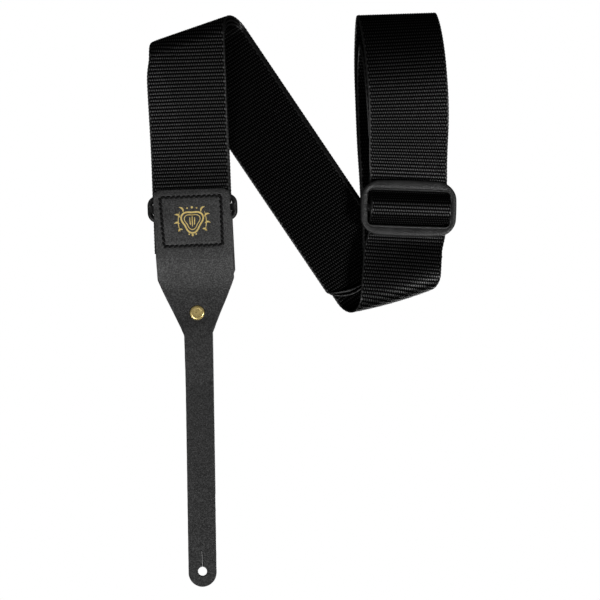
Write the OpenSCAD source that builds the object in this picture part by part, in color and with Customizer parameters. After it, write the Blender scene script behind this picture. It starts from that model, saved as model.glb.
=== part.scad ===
// Guitar strap: one long webbing band folded in a flat zigzag, a three-bar slider,
// a plastic loop, and two leather ends with rivets, box stitching and button holes.
// Millimetres, +Z up. The strap lies on the plane z = 0, face up.
// Origin: on the floor, under the middle of the folded strap's box.

/* [Webbing] */
// Width of the webbing band
band_w = 50; // [38:1:64]
// Thickness of the webbing band
band_t = 1.6; // [1.2:0.1:2.4]
// Heading of the left column, degrees from +X
left_heading = 92; // [88:0.5:96]
// Cells across the band in the faceted runs
cells_across = 8; // [4:1:12]

/* [Slider] */
// Outside width of the three-bar slider
slider_w = 60; // [56:1:70]
// Outside height of the slider along the band
slider_h = 35.6; // [30:0.2:44]
// Height of the opening that the centre bar divides in two
slider_win_h = 21.8; // [18:0.2:26]
// Width of the slider window
slider_win_w = 52.6; // [51:0.2:58]
// Thickness of the slider moulding
slider_t = 3.6; // [2.4:0.2:5]
// Radius of the slider's outer corners
slider_corner = 8; // [2:0.5:9]

/* [Plastic loop] */
// Outside width of the loop
ring_w = 57.6; // [55:0.2:64]
// Radius of the loop's two round bars
ring_bar_r = 2.25; // [1.8:0.05:3]
// Distance between the two round bars
ring_pitch = 13; // [11:0.5:20]
// Clear width between the side bars
ring_clear = 50.8; // [50.4:0.1:54]

/* [Leather ends] */
// Width of a leather end where the band enters it
head_w = 48.2; // [40:0.2:56]
// Length of the wide part
head_l = 57; // [40:1:70]
// Length of the taper from wide part to tail
taper_l = 36; // [20:1:50]
// Width of the tail
tail_w = 17.9; // [14:0.1:24]
// Distance from the top edge to the centre of the round tail tip
tip_l = 245.2; // [200:0.1:280]
// Thickness of the front leather
leather_t = 2.0; // [1.5:0.1:3]
// Thickness of the backing leather
backing_t = 1.8; // [1:0.1:2.5]
// Radius of the button hole
hole_r = 2.95; // [2.5:0.05:4]
// Length of the slit above the button hole
slit_l = 10; // [5:0.5:15]
// Width of the slit
slit_w = 0.5; // [0.3:0.1:1]
// Length of the hidden leather end's tail, loop bar to tip centre
b_tip_l = 176; // [120:1:190]

/* [Fasteners] */
// Radius of the rivet caps
rivet_r = 4.65; // [3:0.05:6]
// Radius of the rivet posts
post_r = 1.5; // [1:0.05:2]
// Length of one stitch
stitch_l = 2.4; // [1.5:0.1:3.5]
// Distance from stitch to stitch
stitch_pitch = 3.25; // [2.5:0.05:4]
// Thickness of the sewing thread
thread_t = 0.7; // [0.4:0.05:1]

/* [Build] */
// Sub-part to build

/* [Hidden] */
$fn = 96;
half_band = band_w / 2;
start = [-69.4, 76];              // middle of the band where it enters leather end A
shift = [-0.703, 0.936, -0.02];   // brings the middle of the strap's box over the origin
black = [0.035, 0.035, 0.04];
plastic = [0.09, 0.09, 0.1];
hide = [0.07, 0.07, 0.075];
brass = [0.62, 0.52, 0.3];
gold = [0.85, 0.68, 0.25];

// ---------- shared helpers ----------
function direction(angle) = [cos(angle), sin(angle)];
function turn90(v) = [-v[1], v[0]];
function unit(v) = v / norm(v);
function clamp01(u) = min(1, max(0, u));
function ease(u) = let (c = clamp01(u)) c * c * (3 - 2 * c);
function part(list, first, last) = [for (i = [first:last]) list[i]];
function reversed(list) = [for (i = [len(list) - 1:-1:0]) list[i]];
function arc(centre, radius, from, to, steps) =
  [for (i = [0:steps]) centre + radius * direction(from + (to - from) * i / steps)];

// Extrudes a [y, z] profile along x, centred on x = 0.
module extrude_x(width) {
  rotate([90, 0, 90]) translate([0, 0, -width / 2]) linear_extrude(width) children();
}

// ---------- folds of the band ----------
// Fields of a fold
AXIS = 0;        // direction of the fold axis
NORMAL = 1;      // outward normal in the floor plane
OFFSET = 2;      // distance of the axis from the origin along the normal
RADIUS = 3;      // radius at RADIUS_AT
RADIUS_AT = 4;   // position along the axis
SLOPE = 5;       // change of radius along the axis
LENGTH = 6;      // developed length of the fold
SLIP = 7;        // shift along the axis from entry to exit
LOW = 8;         // height of the lower level
TOP = 9;         // +1 if the band enters on top, -1 if it enters below

UPPER = 1;       // fold at the upper left
LOWER = -1;      // fold at the lower right
upper_reach = [-37.2, 15.8];      // ends of the upper fold along its axis
lower_reach = [29.0, 82.9];       // ends of the lower fold along its axis

// edge: outer edge of the fold along its normal. r_from, r_to: radii at the ends of its reach.
function fold(side, angle, edge, r_from, r_to, length, slip, low) =
  let (ends = side == UPPER ? upper_reach : lower_reach)
  [direction(angle), side * turn90(direction(angle)), edge - (r_from + r_to) / 2 - band_t / 2,
   r_from, ends[0], (r_to - r_from) / (ends[1] - ends[0]), length, slip, low, side];

upper_edge = 184.9;
lower_edge = 15.8;
folds_outer = [
  fold(UPPER, 18, upper_edge, 8.0, 10.5, 28, 6.6, 0.85),
  fold(LOWER, 15, lower_edge, 8.6, 7.2, 23, 7.4, 0.85)];
folds_middle = [
  fold(UPPER, 18, upper_edge - 2.3, 6.15, 8.65, 25, 6.6, 2.7),
  fold(LOWER, 17.5, lower_edge - 9.4, 4.9, 4.1, 14, 19.4, 2.7)];
folds_inner = [
  fold(UPPER, 18, upper_edge - 4.6, 4.3, 6.8, 22, 6.6, 4.55),
  fold(LOWER, 17.5, lower_edge - 12, 3.0, 2.2, 9, 22.0, 4.55)];

min_fold_r = 1.2;
function fold_radius(f, axial) = max(f[RADIUS] + f[SLOPE] * (axial - f[RADIUS_AT]), min_fold_r);
// How far a flat point lies past the start of a fold, and where the fold takes such a point.
function past(point, f) = point * f[NORMAL] - f[OFFSET];
function folded(point, f) =
  point + (f[LENGTH] - 2 * past(point, f)) * f[NORMAL] + f[SLIP] * f[AXIS];

// The right column leans: its left edge rests on the layers of the diagonal run
// that pass under it. The bulge fades out between fade_y and fade_y + fade_l.
lean = 5.9;
bulge_power = 1.8;
fade_y = 48;
fade_l = 10;
function lift(across, y, bulge) =
  let (flat = (across + half_band) / band_w,
       full = 1 - pow((half_band - across) / band_w, bulge_power))
  lean * (flat + (full - flat) * bulge * (1 - ease((y - fade_y) / fade_l)));

// Height on the way from z0 to z1, `gone` along and `left` still to go.
function settle(z0, z1, gone, left) = z0 + (z1 - z0) * ease(gone / max(gone + left, 0.001));

// Where a flat point comes to rest after the folds from number i on.
// gone: length since the last fold. z: height there. left: length left to the run's end.
// target = [height of the right edge, position across, bulge] at the run's end.
function place(point, gone, z, folds, i, target, left) =
  i == len(folds)
  ? let (z_end = target[0] + lift(target[1], point[1], target[2]))
    [point[0], point[1], settle(z, z_end, gone, left)]
  : let (f = folds[i], beyond = past(point, f), radius = fold_radius(f, point * f[AXIS]))
    beyond < 0
    ? [point[0], point[1], settle(z, f[LOW] + radius * (1 + f[TOP]), gone, -beyond)]
    : beyond < f[LENGTH]
    ? let (angle = 180 * beyond / f[LENGTH],
           spot = point + (radius * sin(angle) - beyond) * f[NORMAL]
             + f[SLIP] * ease(angle / 180) * f[AXIS])
      [spot[0], spot[1], f[LOW] + radius * (1 + f[TOP] * cos(angle))]
    : place(folded(point, f), beyond - f[LENGTH], f[LOW] + radius * (1 - f[TOP]),
            folds, i + 1, target, left);

// Frame of a flat run: [origin, direction along, direction across (+ is left)].
along_dir = direction(left_heading);
across_dir = turn90(along_dir);
first_run = [start, along_dir, across_dir];
function mirrored(v, f) = v - 2 * (v * f[NORMAL]) * f[NORMAL];
function next_run(run, f) = [folded(run[0], f), mirrored(run[1], f), mirrored(run[2], f)];

// Station where the line at `across` meets a fold, and the span of stations the fold takes.
function meets(run, f, across) =
  (f[OFFSET] - run[0] * f[NORMAL] - across * (run[2] * f[NORMAL])) / (run[1] * f[NORMAL]);
function zone(run, f) =
  let (left = meets(run, f, half_band), right = meets(run, f, -half_band))
  [min(left, right) - 1, max(left, right) + f[LENGTH] / (run[1] * f[NORMAL]) + 1];

// Stations from s0 to s1: sparse on the runs, upper_n and lower_n of them in the folds.
function span(from, to, n) = [for (i = [0:n - 1]) from + (to - from) * i / n];
function stations(folds, s0, s1, upper_n, lower_n) =
  let (upper = zone(first_run, folds[0]),
       lower = zone(next_run(first_run, folds[0]), folds[1]))
  concat(span(s0, upper[0], 5), span(upper[0], upper[1], upper_n),
         span(upper[1], lower[0], 7), span(lower[0], lower[1], lower_n),
         span(lower[1], s1, 4), [s1]);

// Grid of points for one strand; it reaches height z1 at station s_end.
columns = [for (j = [0:cells_across]) -half_band + band_w * j / cells_across];
function strand(folds, list, z0, z1, s_end, bulge) =
  [for (s = list) [for (across = columns)
    place(start + s * along_dir + across * across_dir, s, z0, folds, 0,
          [z1, across, bulge], s_end - s)]];
// Station where the middle line reaches a given y on the right column.
function reach(folds, y) =
  let (run = next_run(next_run(first_run, folds[0]), folds[1])) (y - run[0][1]) / run[1][1];

// ---------- loops of the band at the top right ----------
join_y = 56;       // where the folded strands go over into the loops
z_back = 0.95;     // right edge of the back layer
z_middle = 2.75;   // right edge of the middle layer
loft_steps = 3;    // grid rows for each table row

// Rows: x, y, z, turn of the width axis in degrees, rise of the left edge.
// From the back layer round to the slider.
outer_loop = [
  [63.9, join_y, z_back, 1, 5.9], [62.8, 78, z_back, 4, 5.9], [61.4, 100, 1.0, 3, 5.4],
  [60.4, 125, 1.1, 2, 3.6], [59.7, 148, 1.8, 1.5, 1.8], [59.8, 165, 3.8, 1.5, 0.7],
  [60.2, 176, 8.2, 1.5, 0.2], [60.7, 180.2, 15, 1.8, 0], [61.6, 177, 21.6, 2.2, 0],
  [63.2, 168, 27.6, 3, 0], [65.0, 154, 31.6, 3.5, 0], [66.4, 139, 32.4, 3, 0.3],
  [67.6, 124, 29.8, 2, 1.0], [68.2, 110, 24.2, 0.6, 2.4], [68.3, 97, 17.2, -0.6, 4.0],
  [68.5, 86, 11.4, -1.5, 5.3], [68.6, 74.6, 8.45, -1.5, 5.9]];
// From the middle layer round to the sewn end.
inner_loop = [
  [64.7, join_y, z_middle, 1, 5.9], [63.6, 78, z_middle, 3, 5.9], [62.5, 100, 2.8, 3, 5.4],
  [61.6, 122, 3.4, 2.5, 3.8], [61.2, 142, 5.4, 2, 2.2], [61.6, 155, 9.0, 2, 1.2],
  [62.2, 162, 14.0, 2, 0.6], [63.3, 158, 19.6, 2.5, 0.3], [64.8, 147, 22.2, 2.5, 0.3],
  [66.2, 131, 21.0, 2, 1.2], [67.4, 115, 15.6, 0.6, 3.0], [68.2, 103, 9.6, -0.8, 4.6],
  [68.9, 92.2, 6.7, -1.5, 5.9]];
// Grid rows where each loop is split between two nodes
outer_split = loft_steps * 13;
inner_split = loft_steps * 10;

// Smooth (Catmull-Rom) line through the table rows, with a made-up row past each end.
function table_row(table, i) =
  let (last = len(table) - 1)
  i < 0 ? 2 * table[0] - table[1] : i > last ? 2 * table[last] - table[last - 1] : table[i];
function curve(table) = concat(
  [for (i = [0:len(table) - 2], k = [0:loft_steps - 1])
    let (u = k / loft_steps,
         before = table_row(table, i - 1), from = table_row(table, i),
         to = table_row(table, i + 1), after = table_row(table, i + 2))
    0.5 * (2 * from + (to - before) * u + (2 * before - 5 * from + 4 * to - after) * u * u
      + (3 * from - before - 3 * to + after) * u * u * u)],
  [table[len(table) - 1]]);
function loft(table) =
  [for (p = curve(table)) [for (across = columns)
    [p[0] - across * cos(p[3]), p[1] - across * sin(p[3]),
     p[2] + p[4] * (across + half_band) / band_w]]];
// Grid rows 1 to last, the last one stopping just short.
function upto(grid, last) =
  concat(part(grid, 1, last - 1), [0.98 * grid[last] + 0.02 * grid[last - 1]]);
function rest_from(grid, first) = part(grid, first, len(grid) - 1);

// A closed solid of even thickness over a grid of points.
function quad(a, b, c, d) = [[a, b, c], [a, c, d]];
module skin(grid, thick) {
  n = len(grid);
  m = len(grid[0]);
  under = n * m;   // index of the first underside point
  normals = [for (i = [0:n - 1]) [for (j = [0:m - 1])
    unit(cross(grid[min(i + 1, n - 1)][j] - grid[max(i - 1, 0)][j],
               grid[i][min(j + 1, m - 1)] - grid[i][max(j - 1, 0)]))]];
  points = [for (side = [1, -1], i = [0:n - 1], j = [0:m - 1])
    shift + grid[i][j] + side * normals[i][j] * thick / 2];
  faces = concat(
    [for (i = [0:n - 2], j = [0:m - 2]) let (a = i * m + j)
      each quad(a, a + 1, a + m + 1, a + m)],
    [for (i = [0:n - 2], j = [0:m - 2]) let (a = under + i * m + j)
      each quad(a, a + m, a + m + 1, a + 1)],
    [for (i = [0:n - 2]) let (a = i * m, b = a + m)
      each quad(a, b, under + b, under + a)],
    [for (i = [0:n - 2]) let (a = i * m + m - 1, b = a + m)
      each quad(a, under + a, under + b, b)],
    [for (j = [0:m - 2]) each quad(j, under + j, under + j + 1, j + 1)],
    [for (j = [0:m - 2]) let (a = (n - 1) * m + j)
      each quad(a, a + 1, under + a + 1, under + a)]);
  polyhedron(points = points, faces = faces);
}

// ---------- webbing runs ----------
z_tab = 12.1;                     // band middle height inside end A
z_face = 8.45;                    // band middle height either side of the slider
z_loop = 4.6;                     // height of the plastic loop's bars
upper_bar_y = -10.8;              // loop bars, along the band from start
lower_bar_y = upper_bar_y - ring_pitch;
bight_r = ring_bar_r + 0.25 + band_t / 2;   // band middle round the loop's upper bar
run_start = 1.05;                 // station where the outer run leaves the end tab
split_gap = 0.05;
split_s = reach(folds_outer, 15.5);
face_end_s = reach(folds_outer, 44.6);
blend_l = 14;                     // the band turns into the slider's plane over this length
face_end_y = -13.35;              // end of the lower front run in the slider's frame

module webbing_outer_run() {
  list = stations(folds_outer, run_start, split_s, 15, 14);
  color(black) skin(strand(folds_outer, list, z_tab, z_face, face_end_s, 0), band_t);
}
module webbing_front_lower() {
  list = concat(span(split_s + split_gap, face_end_s, 8), [face_end_s]);
  grid = strand(folds_outer, list, z_tab, z_face, face_end_s, 0);
  color(black) skin([for (i = [0:len(list) - 1])
    let (left = face_end_s - list[i], weight = ease(1 - left / blend_l))
    [for (j = [0:len(columns) - 1]) (1 - weight) * grid[i][j]
      + weight * slider_point(-columns[j], face_end_y - left, z_face)]], band_t);
}
// Outer loop, back layer, turn round the loop's upper bar, middle layer, inner loop.
module webbing_inner_run() {
  back_list = stations(folds_inner, 0, reach(folds_inner, join_y), 14, 17);
  middle_list = stations(folds_middle, 0, reach(folds_middle, join_y), 15, 16);
  bar_turn = [for (k = [0:12]) let (angle = -90 - 15 * k) [for (across = columns)
    let (p = start + (upper_bar_y + bight_r * cos(angle)) * along_dir + across * across_dir)
    [p[0], p[1], z_loop + bight_r * sin(angle)]]];
  color(black) skin(concat(
    reversed(upto(loft(outer_loop), outer_split)),
    reversed(strand(folds_inner, back_list, z_loop - bight_r, z_back,
                    reach(folds_inner, 35.6), 1)),
    bar_turn,
    strand(folds_middle, middle_list, z_loop + bight_r, z_middle,
           reach(folds_middle, 35.2), 1),
    upto(loft(inner_loop), inner_split)), band_t);
}
module webbing_front_upper() {
  color(black) skin(rest_from(loft(outer_loop), outer_split), band_t);
}
module webbing_return() {
  color(black) skin(rest_from(loft(inner_loop), inner_split), band_t);
}

// ---------- slider ----------
slider_at = [68.4, 58.0];
slider_turn = -1.5;
slider_lean = asin(lean / band_w);
pivot_z = 8;           // height in the slider's frame about which it leans
z_bar = 11.5;          // middle of the moulding
bar_half = 0.9;        // from the middle of the centre bar to its rounded sides
bar_inset = 0.1;       // centre bar below the faces of the moulding
bar_overlap = 0.4;     // centre bar into the frame, each side
win_corner = 2.5;
bow = 0.68;            // drop of the bowed long edges towards the corners
bow_r = 430;
bow_from = 86.78;      // angle where the bowed edge starts
corner_to = 86;        // angle where the corner arc stops

module at_slider() {
  translate([slider_at[0], slider_at[1], pivot_z + lean / 2] + shift)
    rotate([0, 0, slider_turn]) rotate([0, slider_lean, 0])
      translate([0, 0, -pivot_z]) children();
}
// The same placement for a point, before shift.
function slider_point(x, y, z) =
  let (rise = z - pivot_z, out = x * cos(slider_lean) + rise * sin(slider_lean))
  [slider_at[0] + out * cos(slider_turn) - y * sin(slider_turn),
   slider_at[1] + out * sin(slider_turn) + y * cos(slider_turn),
   pivot_z + lean / 2 + rise * cos(slider_lean) - x * sin(slider_lean)];

// Sheet that follows a line of [y, z] points.
function leg(path, i) = unit(path[i + 1] - path[i]);
function offset_path(path, dist) =
  [for (i = [0:len(path) - 1])
    let (before = turn90(leg(path, max(i - 1, 0))),
         after = turn90(leg(path, min(i, len(path) - 2))),
         mitre = unit(before + after))
    path[i] + mitre * dist / (mitre * after)];
module band_along(path, width, thick) {
  extrude_x(width)
    polygon(concat(offset_path(path, thick / 2), reversed(offset_path(path, -thick / 2))));
}

module slider_frame() {
  corner_x = slider_w / 2 - slider_corner;
  corner_y = slider_h / 2 - slider_corner - bow;
  upper_half = concat(
    arc([corner_x, corner_y], slider_corner, 0, corner_to, 8),
    arc([0, slider_h / 2 - bow_r], bow_r, bow_from, 180 - bow_from, 10),
    arc([-corner_x, corner_y], slider_corner, 180 - corner_to, 180, 8));
  color(plastic) at_slider() translate([0, 0, z_bar - slider_t / 2]) {
    difference() {
      linear_extrude(slider_t) polygon(concat(upper_half, [for (p = upper_half) -p]));
      translate([0, 0, -1]) linear_extrude(slider_t + 2) union() {
        square([slider_win_w, slider_win_h - 2 * win_corner], center = true);
        square([slider_win_w - 2 * win_corner, slider_win_h], center = true);
        for (x = [-1, 1], y = [-1, 1])
          translate([x * (slider_win_w / 2 - win_corner), y * (slider_win_h / 2 - win_corner)])
            circle(win_corner);
      }
    }
    // centre bar
    translate([0, 0, slider_t / 2]) extrude_x(slider_win_w + 2 * bar_overlap) union() {
      square([2 * bar_half, slider_t - 2 * bar_inset], center = true);
      for (y = [bar_half, -bar_half]) translate([y, 0]) circle(slider_t / 2 - bar_inset);
    }
  }
}
module webbing_over_bar() {
  path = [   // y, z
    [-13.3, z_face], [-10.0, z_face], [-9.2, 8.8], [-5.4, 14.2], [-3.7, 15.75], [-2, 16.3],
    [2, 16.3], [3.7, 15.75], [5.4, 14.2], [9.2, 8.8], [10.0, z_face], [16.4, z_face]];
  color(black) at_slider() band_along(path, band_w, band_t);
}
module webbing_sewn_loop() {
  turn_r = slider_t / 2 + 0.25 + band_t / 2;
  path = concat(
    [[33, 4.85], [11, 4.85], [7, 5.4], [3, 7.6]],
    arc([-bar_half, z_bar], turn_r, -85, -270, 12),
    arc([bar_half, z_bar], turn_r, 90, 5, 6),
    [[4.9, 9.6], [7.0, 7.3], [10, 6.7], [33.7, 6.7]]);
  color(black) at_slider() band_along(path, band_w, band_t);
}

// One row of stitches between two points at height z.
module stitches(from, to, z, thick) {
  run = to - from;
  n = floor(norm(run) / stitch_pitch);
  for (i = [0:n - 1]) {
    p = from + run * (i + 0.5) / n;
    translate([p[0], p[1], z]) rotate([0, 0, atan2(run[1], run[0])])
      cube([stitch_l, thread_t, thick], center = true);
  }
}
module loop_stitching() {
  half_row = 21;
  faces = [[7.72, 0.4], [3.92, 0.24]];   // height, thickness
  color(black) at_slider() for (face = faces) for (y = [22, 30])
    stitches([-half_row, y], [half_row, y], face[0], face[1]);
}

// ---------- plastic loop ----------
// Frame of the leather ends and the loop: y runs up the band, 0 at start.
module at_end() {
  translate([start[0], start[1], 0] + shift) rotate([0, 0, left_heading - 90]) children();
}
module plastic_loop() {
  side_t = 4.8;      // thickness of the side bars
  overlap = 0.6;     // round bars into the side bars
  corner_r = 7.4;
  corner_angle = 56;
  corner_past = 2.6; // corner arcs past the bar axes
  inner_past = 2.5;  // inner ends of the side bars past the bar axes
  corner_x = ring_w / 2 - corner_r;
  side_bar = concat(
    [[ring_clear / 2, upper_bar_y + inner_past]],
    arc([corner_x, upper_bar_y + corner_past - corner_r], corner_r, corner_angle, 0, 8),
    arc([corner_x, lower_bar_y - corner_past + corner_r], corner_r, 0, -corner_angle, 8),
    [[ring_clear / 2, lower_bar_y - inner_past]]);
  color(plastic) at_end() union() {
    for (y = [upper_bar_y, lower_bar_y])
      translate([-ring_clear / 2 - overlap, y, z_loop]) rotate([0, 90, 0])
        cylinder(r = ring_bar_r, h = ring_clear + 2 * overlap);
    for (side = [-1, 1]) translate([0, 0, z_loop - side_t / 2])
      linear_extrude(side_t) polygon([for (p = side_bar) [side * p[0], p[1]]]);
  }
}

// ---------- leather outlines ----------
top_y = -5.6;             // top edge of end A
hole_up = 0.9;            // button hole centre above the centre of the round tip
leaf_span = 80;           // width of the side profiles, wider than any outline
cut_h = 20;               // height of the hole cutters
// x of the middle line of a leather end; rows: y, x.
mid_line = [[-253, -1.8], [-99, 1.15], [-62, 0.93], [-5, 0]];
function mid(y) = lookup(y, mid_line);

// head = [width, length, taper length]; side = 1 right, -1 left.
function half_width(y, head) =
  let (u = clamp01((top_y - y - head[1]) / head[2]))
  head[0] / 2 + (tail_w - head[0]) / 2 * (0.85 * u + 0.15 * ease(u));
function rim(from, to, steps, head, side) =
  [for (i = [0:steps]) let (y = from + (to - from) * i / steps)
    [mid(y) + side * half_width(y, head), y]];
function flank(from, to, steps, tip, head, side) =
  concat(rim(from, to, steps, head, side), rim(to - 10, tip + 1, 6, head, side));
// Taper between y = from and y = to, then the tail down to its round tip.
module end_outline(right_top, left_top, from, to, steps, tip, head) {
  polygon(concat(
    right_top, flank(from, to, steps, tip, head, 1),
    arc([mid(tip), tip], tail_w / 2, 0, -180, 24),
    reversed(concat(left_top, flank(from, to, steps, tip, head, -1)))));
}
module button_hole(tip) {
  translate([mid(tip), tip + hole_up, -1]) cylinder(r = hole_r, h = cut_h);
  translate([mid(tip) - slit_w / 2, tip + hole_up + hole_r - 0.4, -1])
    cube([slit_w, slit_l + 0.4, cut_h]);
}
module post_hole(y, z) {
  translate([mid(y), y, z]) cylinder(r = post_r + 0.1, h = cut_h);
}
// A row of stitches round a box, on corners given from its middle x, two y and width.
module box_stitching(x, y0, y1, width, z, thick) {
  corners = [[x - width / 2, y0], [x + width / 2, y0], [x + width / 2, y1], [x - width / 2, y1]];
  for (i = [0:3]) stitches(corners[i], corners[(i + 1) % 4], z, thick);
}

// ---------- leather end A ----------
tip_a_y = top_y - tip_l;
rivet_a_y = -84.2;
z_rivet = 8.25;           // underside of the front leather at the rivet
z_front = 13.0;           // underside of the front leather over the band
z_backing = 9.4;          // underside of the backing below the band
front_top = z_front + leather_t;
tab_l = 47;
tab_over = 1;             // tab past the start of the band
// Undersides; rows: y, z.
front_under = [
  [10, z_front], [-48, z_front], [-53, 12.4], [-62, 9.2], [-68, z_rivet], [-96, z_rivet],
  [-104, 7.3], [-122, 3.6], [-132, 2.45], [-270, 2.45]];
backing_under = [
  [10, z_backing], [-47, z_backing], [-53, 8.9], [-62, 6.9], [-67, 6.4], [-95.4, 6.4]];

module outline_a(width) {
  corner = 5;
  tops = [for (side = [1, -1])
    arc([mid(top_y) + side * (width / 2 - corner), top_y - corner], corner,
        90, 90 - 90 * side, 8)];
  end_outline(tops[0], tops[1], top_y - head_l, top_y - head_l - taper_l, 14, tip_a_y,
              [width, head_l, taper_l]);
}
// Leather of end A, cut to width in plan and to its underside in side view.
module leaf_a(width, under, thick) {
  intersection() {
    linear_extrude(30) outline_a(width);
    extrude_x(leaf_span)
      polygon(concat(under, [for (p = reversed(under)) [p[0], p[1] + thick]]));
  }
}
module leather_a_front() {
  color(hide) at_end() difference() {
    leaf_a(head_w, front_under, leather_t);
    button_hole(tip_a_y);
    post_hole(rivet_a_y, 0);
  }
}
module leather_a_back() {
  color(hide) at_end() difference() {
    leaf_a(head_w - 1.2, backing_under, backing_t);
    post_hole(rivet_a_y, 0);
  }
}
module webbing_end_tab() {
  color(black) at_end() translate([-half_band, tab_over - tab_l, z_tab - band_t / 2])
    cube([band_w, tab_l, band_t]);
}
module box_stitching_a() {
  gap = 0.04;        // between stitches and leather
  front_t = 0.4;
  back_t = 0.36;
  color(black) at_end() {
    box_stitching(-0.4, -10.6, -41.6, 38.6, front_top + gap + front_t / 2, front_t);
    box_stitching(-0.4, -10.6, -41.6, 38.6, z_backing - gap - back_t / 2, back_t);
  }
}

// Ornament: three upright bars in a rounded triangular outline, between two lozenges.
function rounded_triangle(size, wave) =
  [for (a = [0:6:354]) (size + wave * cos(3 * (a + 90))) * direction(a)];
module gold_emblem() {
  thick = 0.12;
  color(gold) at_end() translate([0.1, -25.6, front_top + 0.02]) {
    difference() {
      linear_extrude(thick) polygon(rounded_triangle(6.6, 1.1));
      translate([0, 0, -1]) linear_extrude(3) polygon(rounded_triangle(5.6, 1.0));
    }
    for (x = [-2.4, 0, 2.4]) translate([x - 0.25, -3, 0]) cube([0.5, 6, thick]);
    for (x = [-10, 10]) translate([x, 0, 0])
      linear_extrude(thick) polygon([[0, 2.4], [1.5, 0], [0, -2.4], [-1.5, 0]]);
  }
}
module rivet_cap_a() {
  bore_r = post_r + 0.02;
  profile = [   // radius, height above the leather
    [0, 1.6], [0, 0.9], [bore_r, 0.9], [bore_r, 0.02], [rivet_r, 0.02], [rivet_r, 0.55],
    [rivet_r - 0.25, 1.0], [rivet_r - 0.8, 1.35], [rivet_r - 1.6, 1.6]];
  color(brass) at_end() translate([mid(rivet_a_y), rivet_a_y, 0])
    rotate_extrude() polygon([for (p = profile) [p[0], z_rivet + leather_t + p[1]]]);
}
module rivet_post_a() {
  z_foot = 5.58;
  z_post = z_foot + 0.4;
  color(brass) at_end() translate([mid(rivet_a_y), rivet_a_y, 0]) union() {
    translate([0, 0, z_foot]) cylinder(r = 3.6, h = 0.8);
    translate([0, 0, z_post]) cylinder(r = post_r, h = z_rivet + leather_t + 0.85 - z_post);
  }
}

// ---------- leather end B, folded round the loop's lower bar ----------
tip_b_y = lower_bar_y - b_tip_l;
rivet_b_y = -76;
head_b = [49.6, 52, 32];  // width, length, taper length
leather_b_t = 1.8;
seat_b_z = 4.04;          // just above the upper leaf, under stitches and rivet cap

module outline_b() {
  tops = [for (side = [1, -1])
    [[mid(lower_bar_y) + side * head_b[0] / 2, lower_bar_y + 12]]];
  end_outline(tops[0], tops[1], -58, -90, 12, tip_b_y, head_b);
}
module leather_b() {
  turn_r = ring_bar_r + 0.15 + leather_b_t / 2;
  path = concat(
    [[-86, 3.12], [-46, 3.12], [-38, 4.3], [-32, 6.4], [-28.4, 7.5]],
    arc([lower_bar_y, z_loop], turn_r, 104, -90, 16),
    [[-34, 1.2], [-44, 1.0], [tip_b_y - 12, 1.0]]);
  color(hide) at_end() difference() {
    intersection() {
      translate([0, 0, -1]) linear_extrude(20) outline_b();
      band_along(path, leaf_span, leather_b_t);
    }
    button_hole(tip_b_y);
    post_hole(rivet_b_y, -1);
    // trims the end of the upper leaf
    translate([-leaf_span / 2, -96, 2.11]) cube([leaf_span, 10.5, 3]);
  }
}
module box_stitching_b() {
  thick = 0.36;
  color(black) at_end() box_stitching(0.6, -47.5, -64, 37, seat_b_z + thick / 2, thick);
}
module rivet_cap_b() {
  color(brass) at_end() translate([mid(rivet_b_y), rivet_b_y, seat_b_z])
    linear_extrude(1.1) difference() {
      circle(4.2);
      circle(post_r + 0.02);
    }
}
module rivet_post_b() {
  color(brass) at_end() translate([mid(rivet_b_y), rivet_b_y, 0.02])
    cylinder(r = post_r, h = 5.1);
}

webbing_outer_run();
webbing_inner_run();
webbing_front_lower();
webbing_front_upper();
webbing_return();
webbing_end_tab();
webbing_over_bar();
webbing_sewn_loop();
loop_stitching();
slider_frame();
plastic_loop();
leather_a_front();
leather_a_back();
box_stitching_a();
gold_emblem();
rivet_cap_a();
rivet_post_a();
leather_b();
box_stitching_b();
rivet_cap_b();
rivet_post_b();
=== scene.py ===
import math
import random

import bpy
import numpy as np
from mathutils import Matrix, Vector
from mathutils.geometry import delaunay_2d_cdt


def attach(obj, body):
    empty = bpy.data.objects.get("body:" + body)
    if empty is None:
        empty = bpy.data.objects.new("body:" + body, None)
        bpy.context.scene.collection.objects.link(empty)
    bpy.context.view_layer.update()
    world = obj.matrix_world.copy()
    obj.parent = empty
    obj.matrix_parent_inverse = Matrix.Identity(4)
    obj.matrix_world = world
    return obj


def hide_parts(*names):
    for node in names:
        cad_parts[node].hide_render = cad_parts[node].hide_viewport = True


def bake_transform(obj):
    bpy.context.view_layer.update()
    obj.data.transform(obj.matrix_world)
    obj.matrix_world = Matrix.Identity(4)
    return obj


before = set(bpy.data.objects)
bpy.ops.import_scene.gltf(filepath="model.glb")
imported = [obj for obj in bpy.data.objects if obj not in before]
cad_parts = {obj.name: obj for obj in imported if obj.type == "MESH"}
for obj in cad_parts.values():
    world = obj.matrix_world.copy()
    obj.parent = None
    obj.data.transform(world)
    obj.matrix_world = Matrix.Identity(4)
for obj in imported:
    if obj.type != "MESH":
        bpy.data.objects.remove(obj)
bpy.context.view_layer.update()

rng = random.Random(7)
MM = 0.001
SHIFT = np.array([-0.703, 0.936, -0.02])
BAND_W, BAND_T = 50.0, 1.6
HEAD = 92.0
START = np.array([-69.4, 76.0])


# ------------------------------------------------------------------ small maths
def dir2(a):
    return np.array([math.cos(math.radians(a)), math.sin(math.radians(a))])


def ease(t):
    t = np.clip(t, 0, 1)
    return t * t * (3 - 2 * t)


def unit(v):
    return v / np.maximum(np.linalg.norm(v, axis=-1, keepdims=True), 1e-12)


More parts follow.
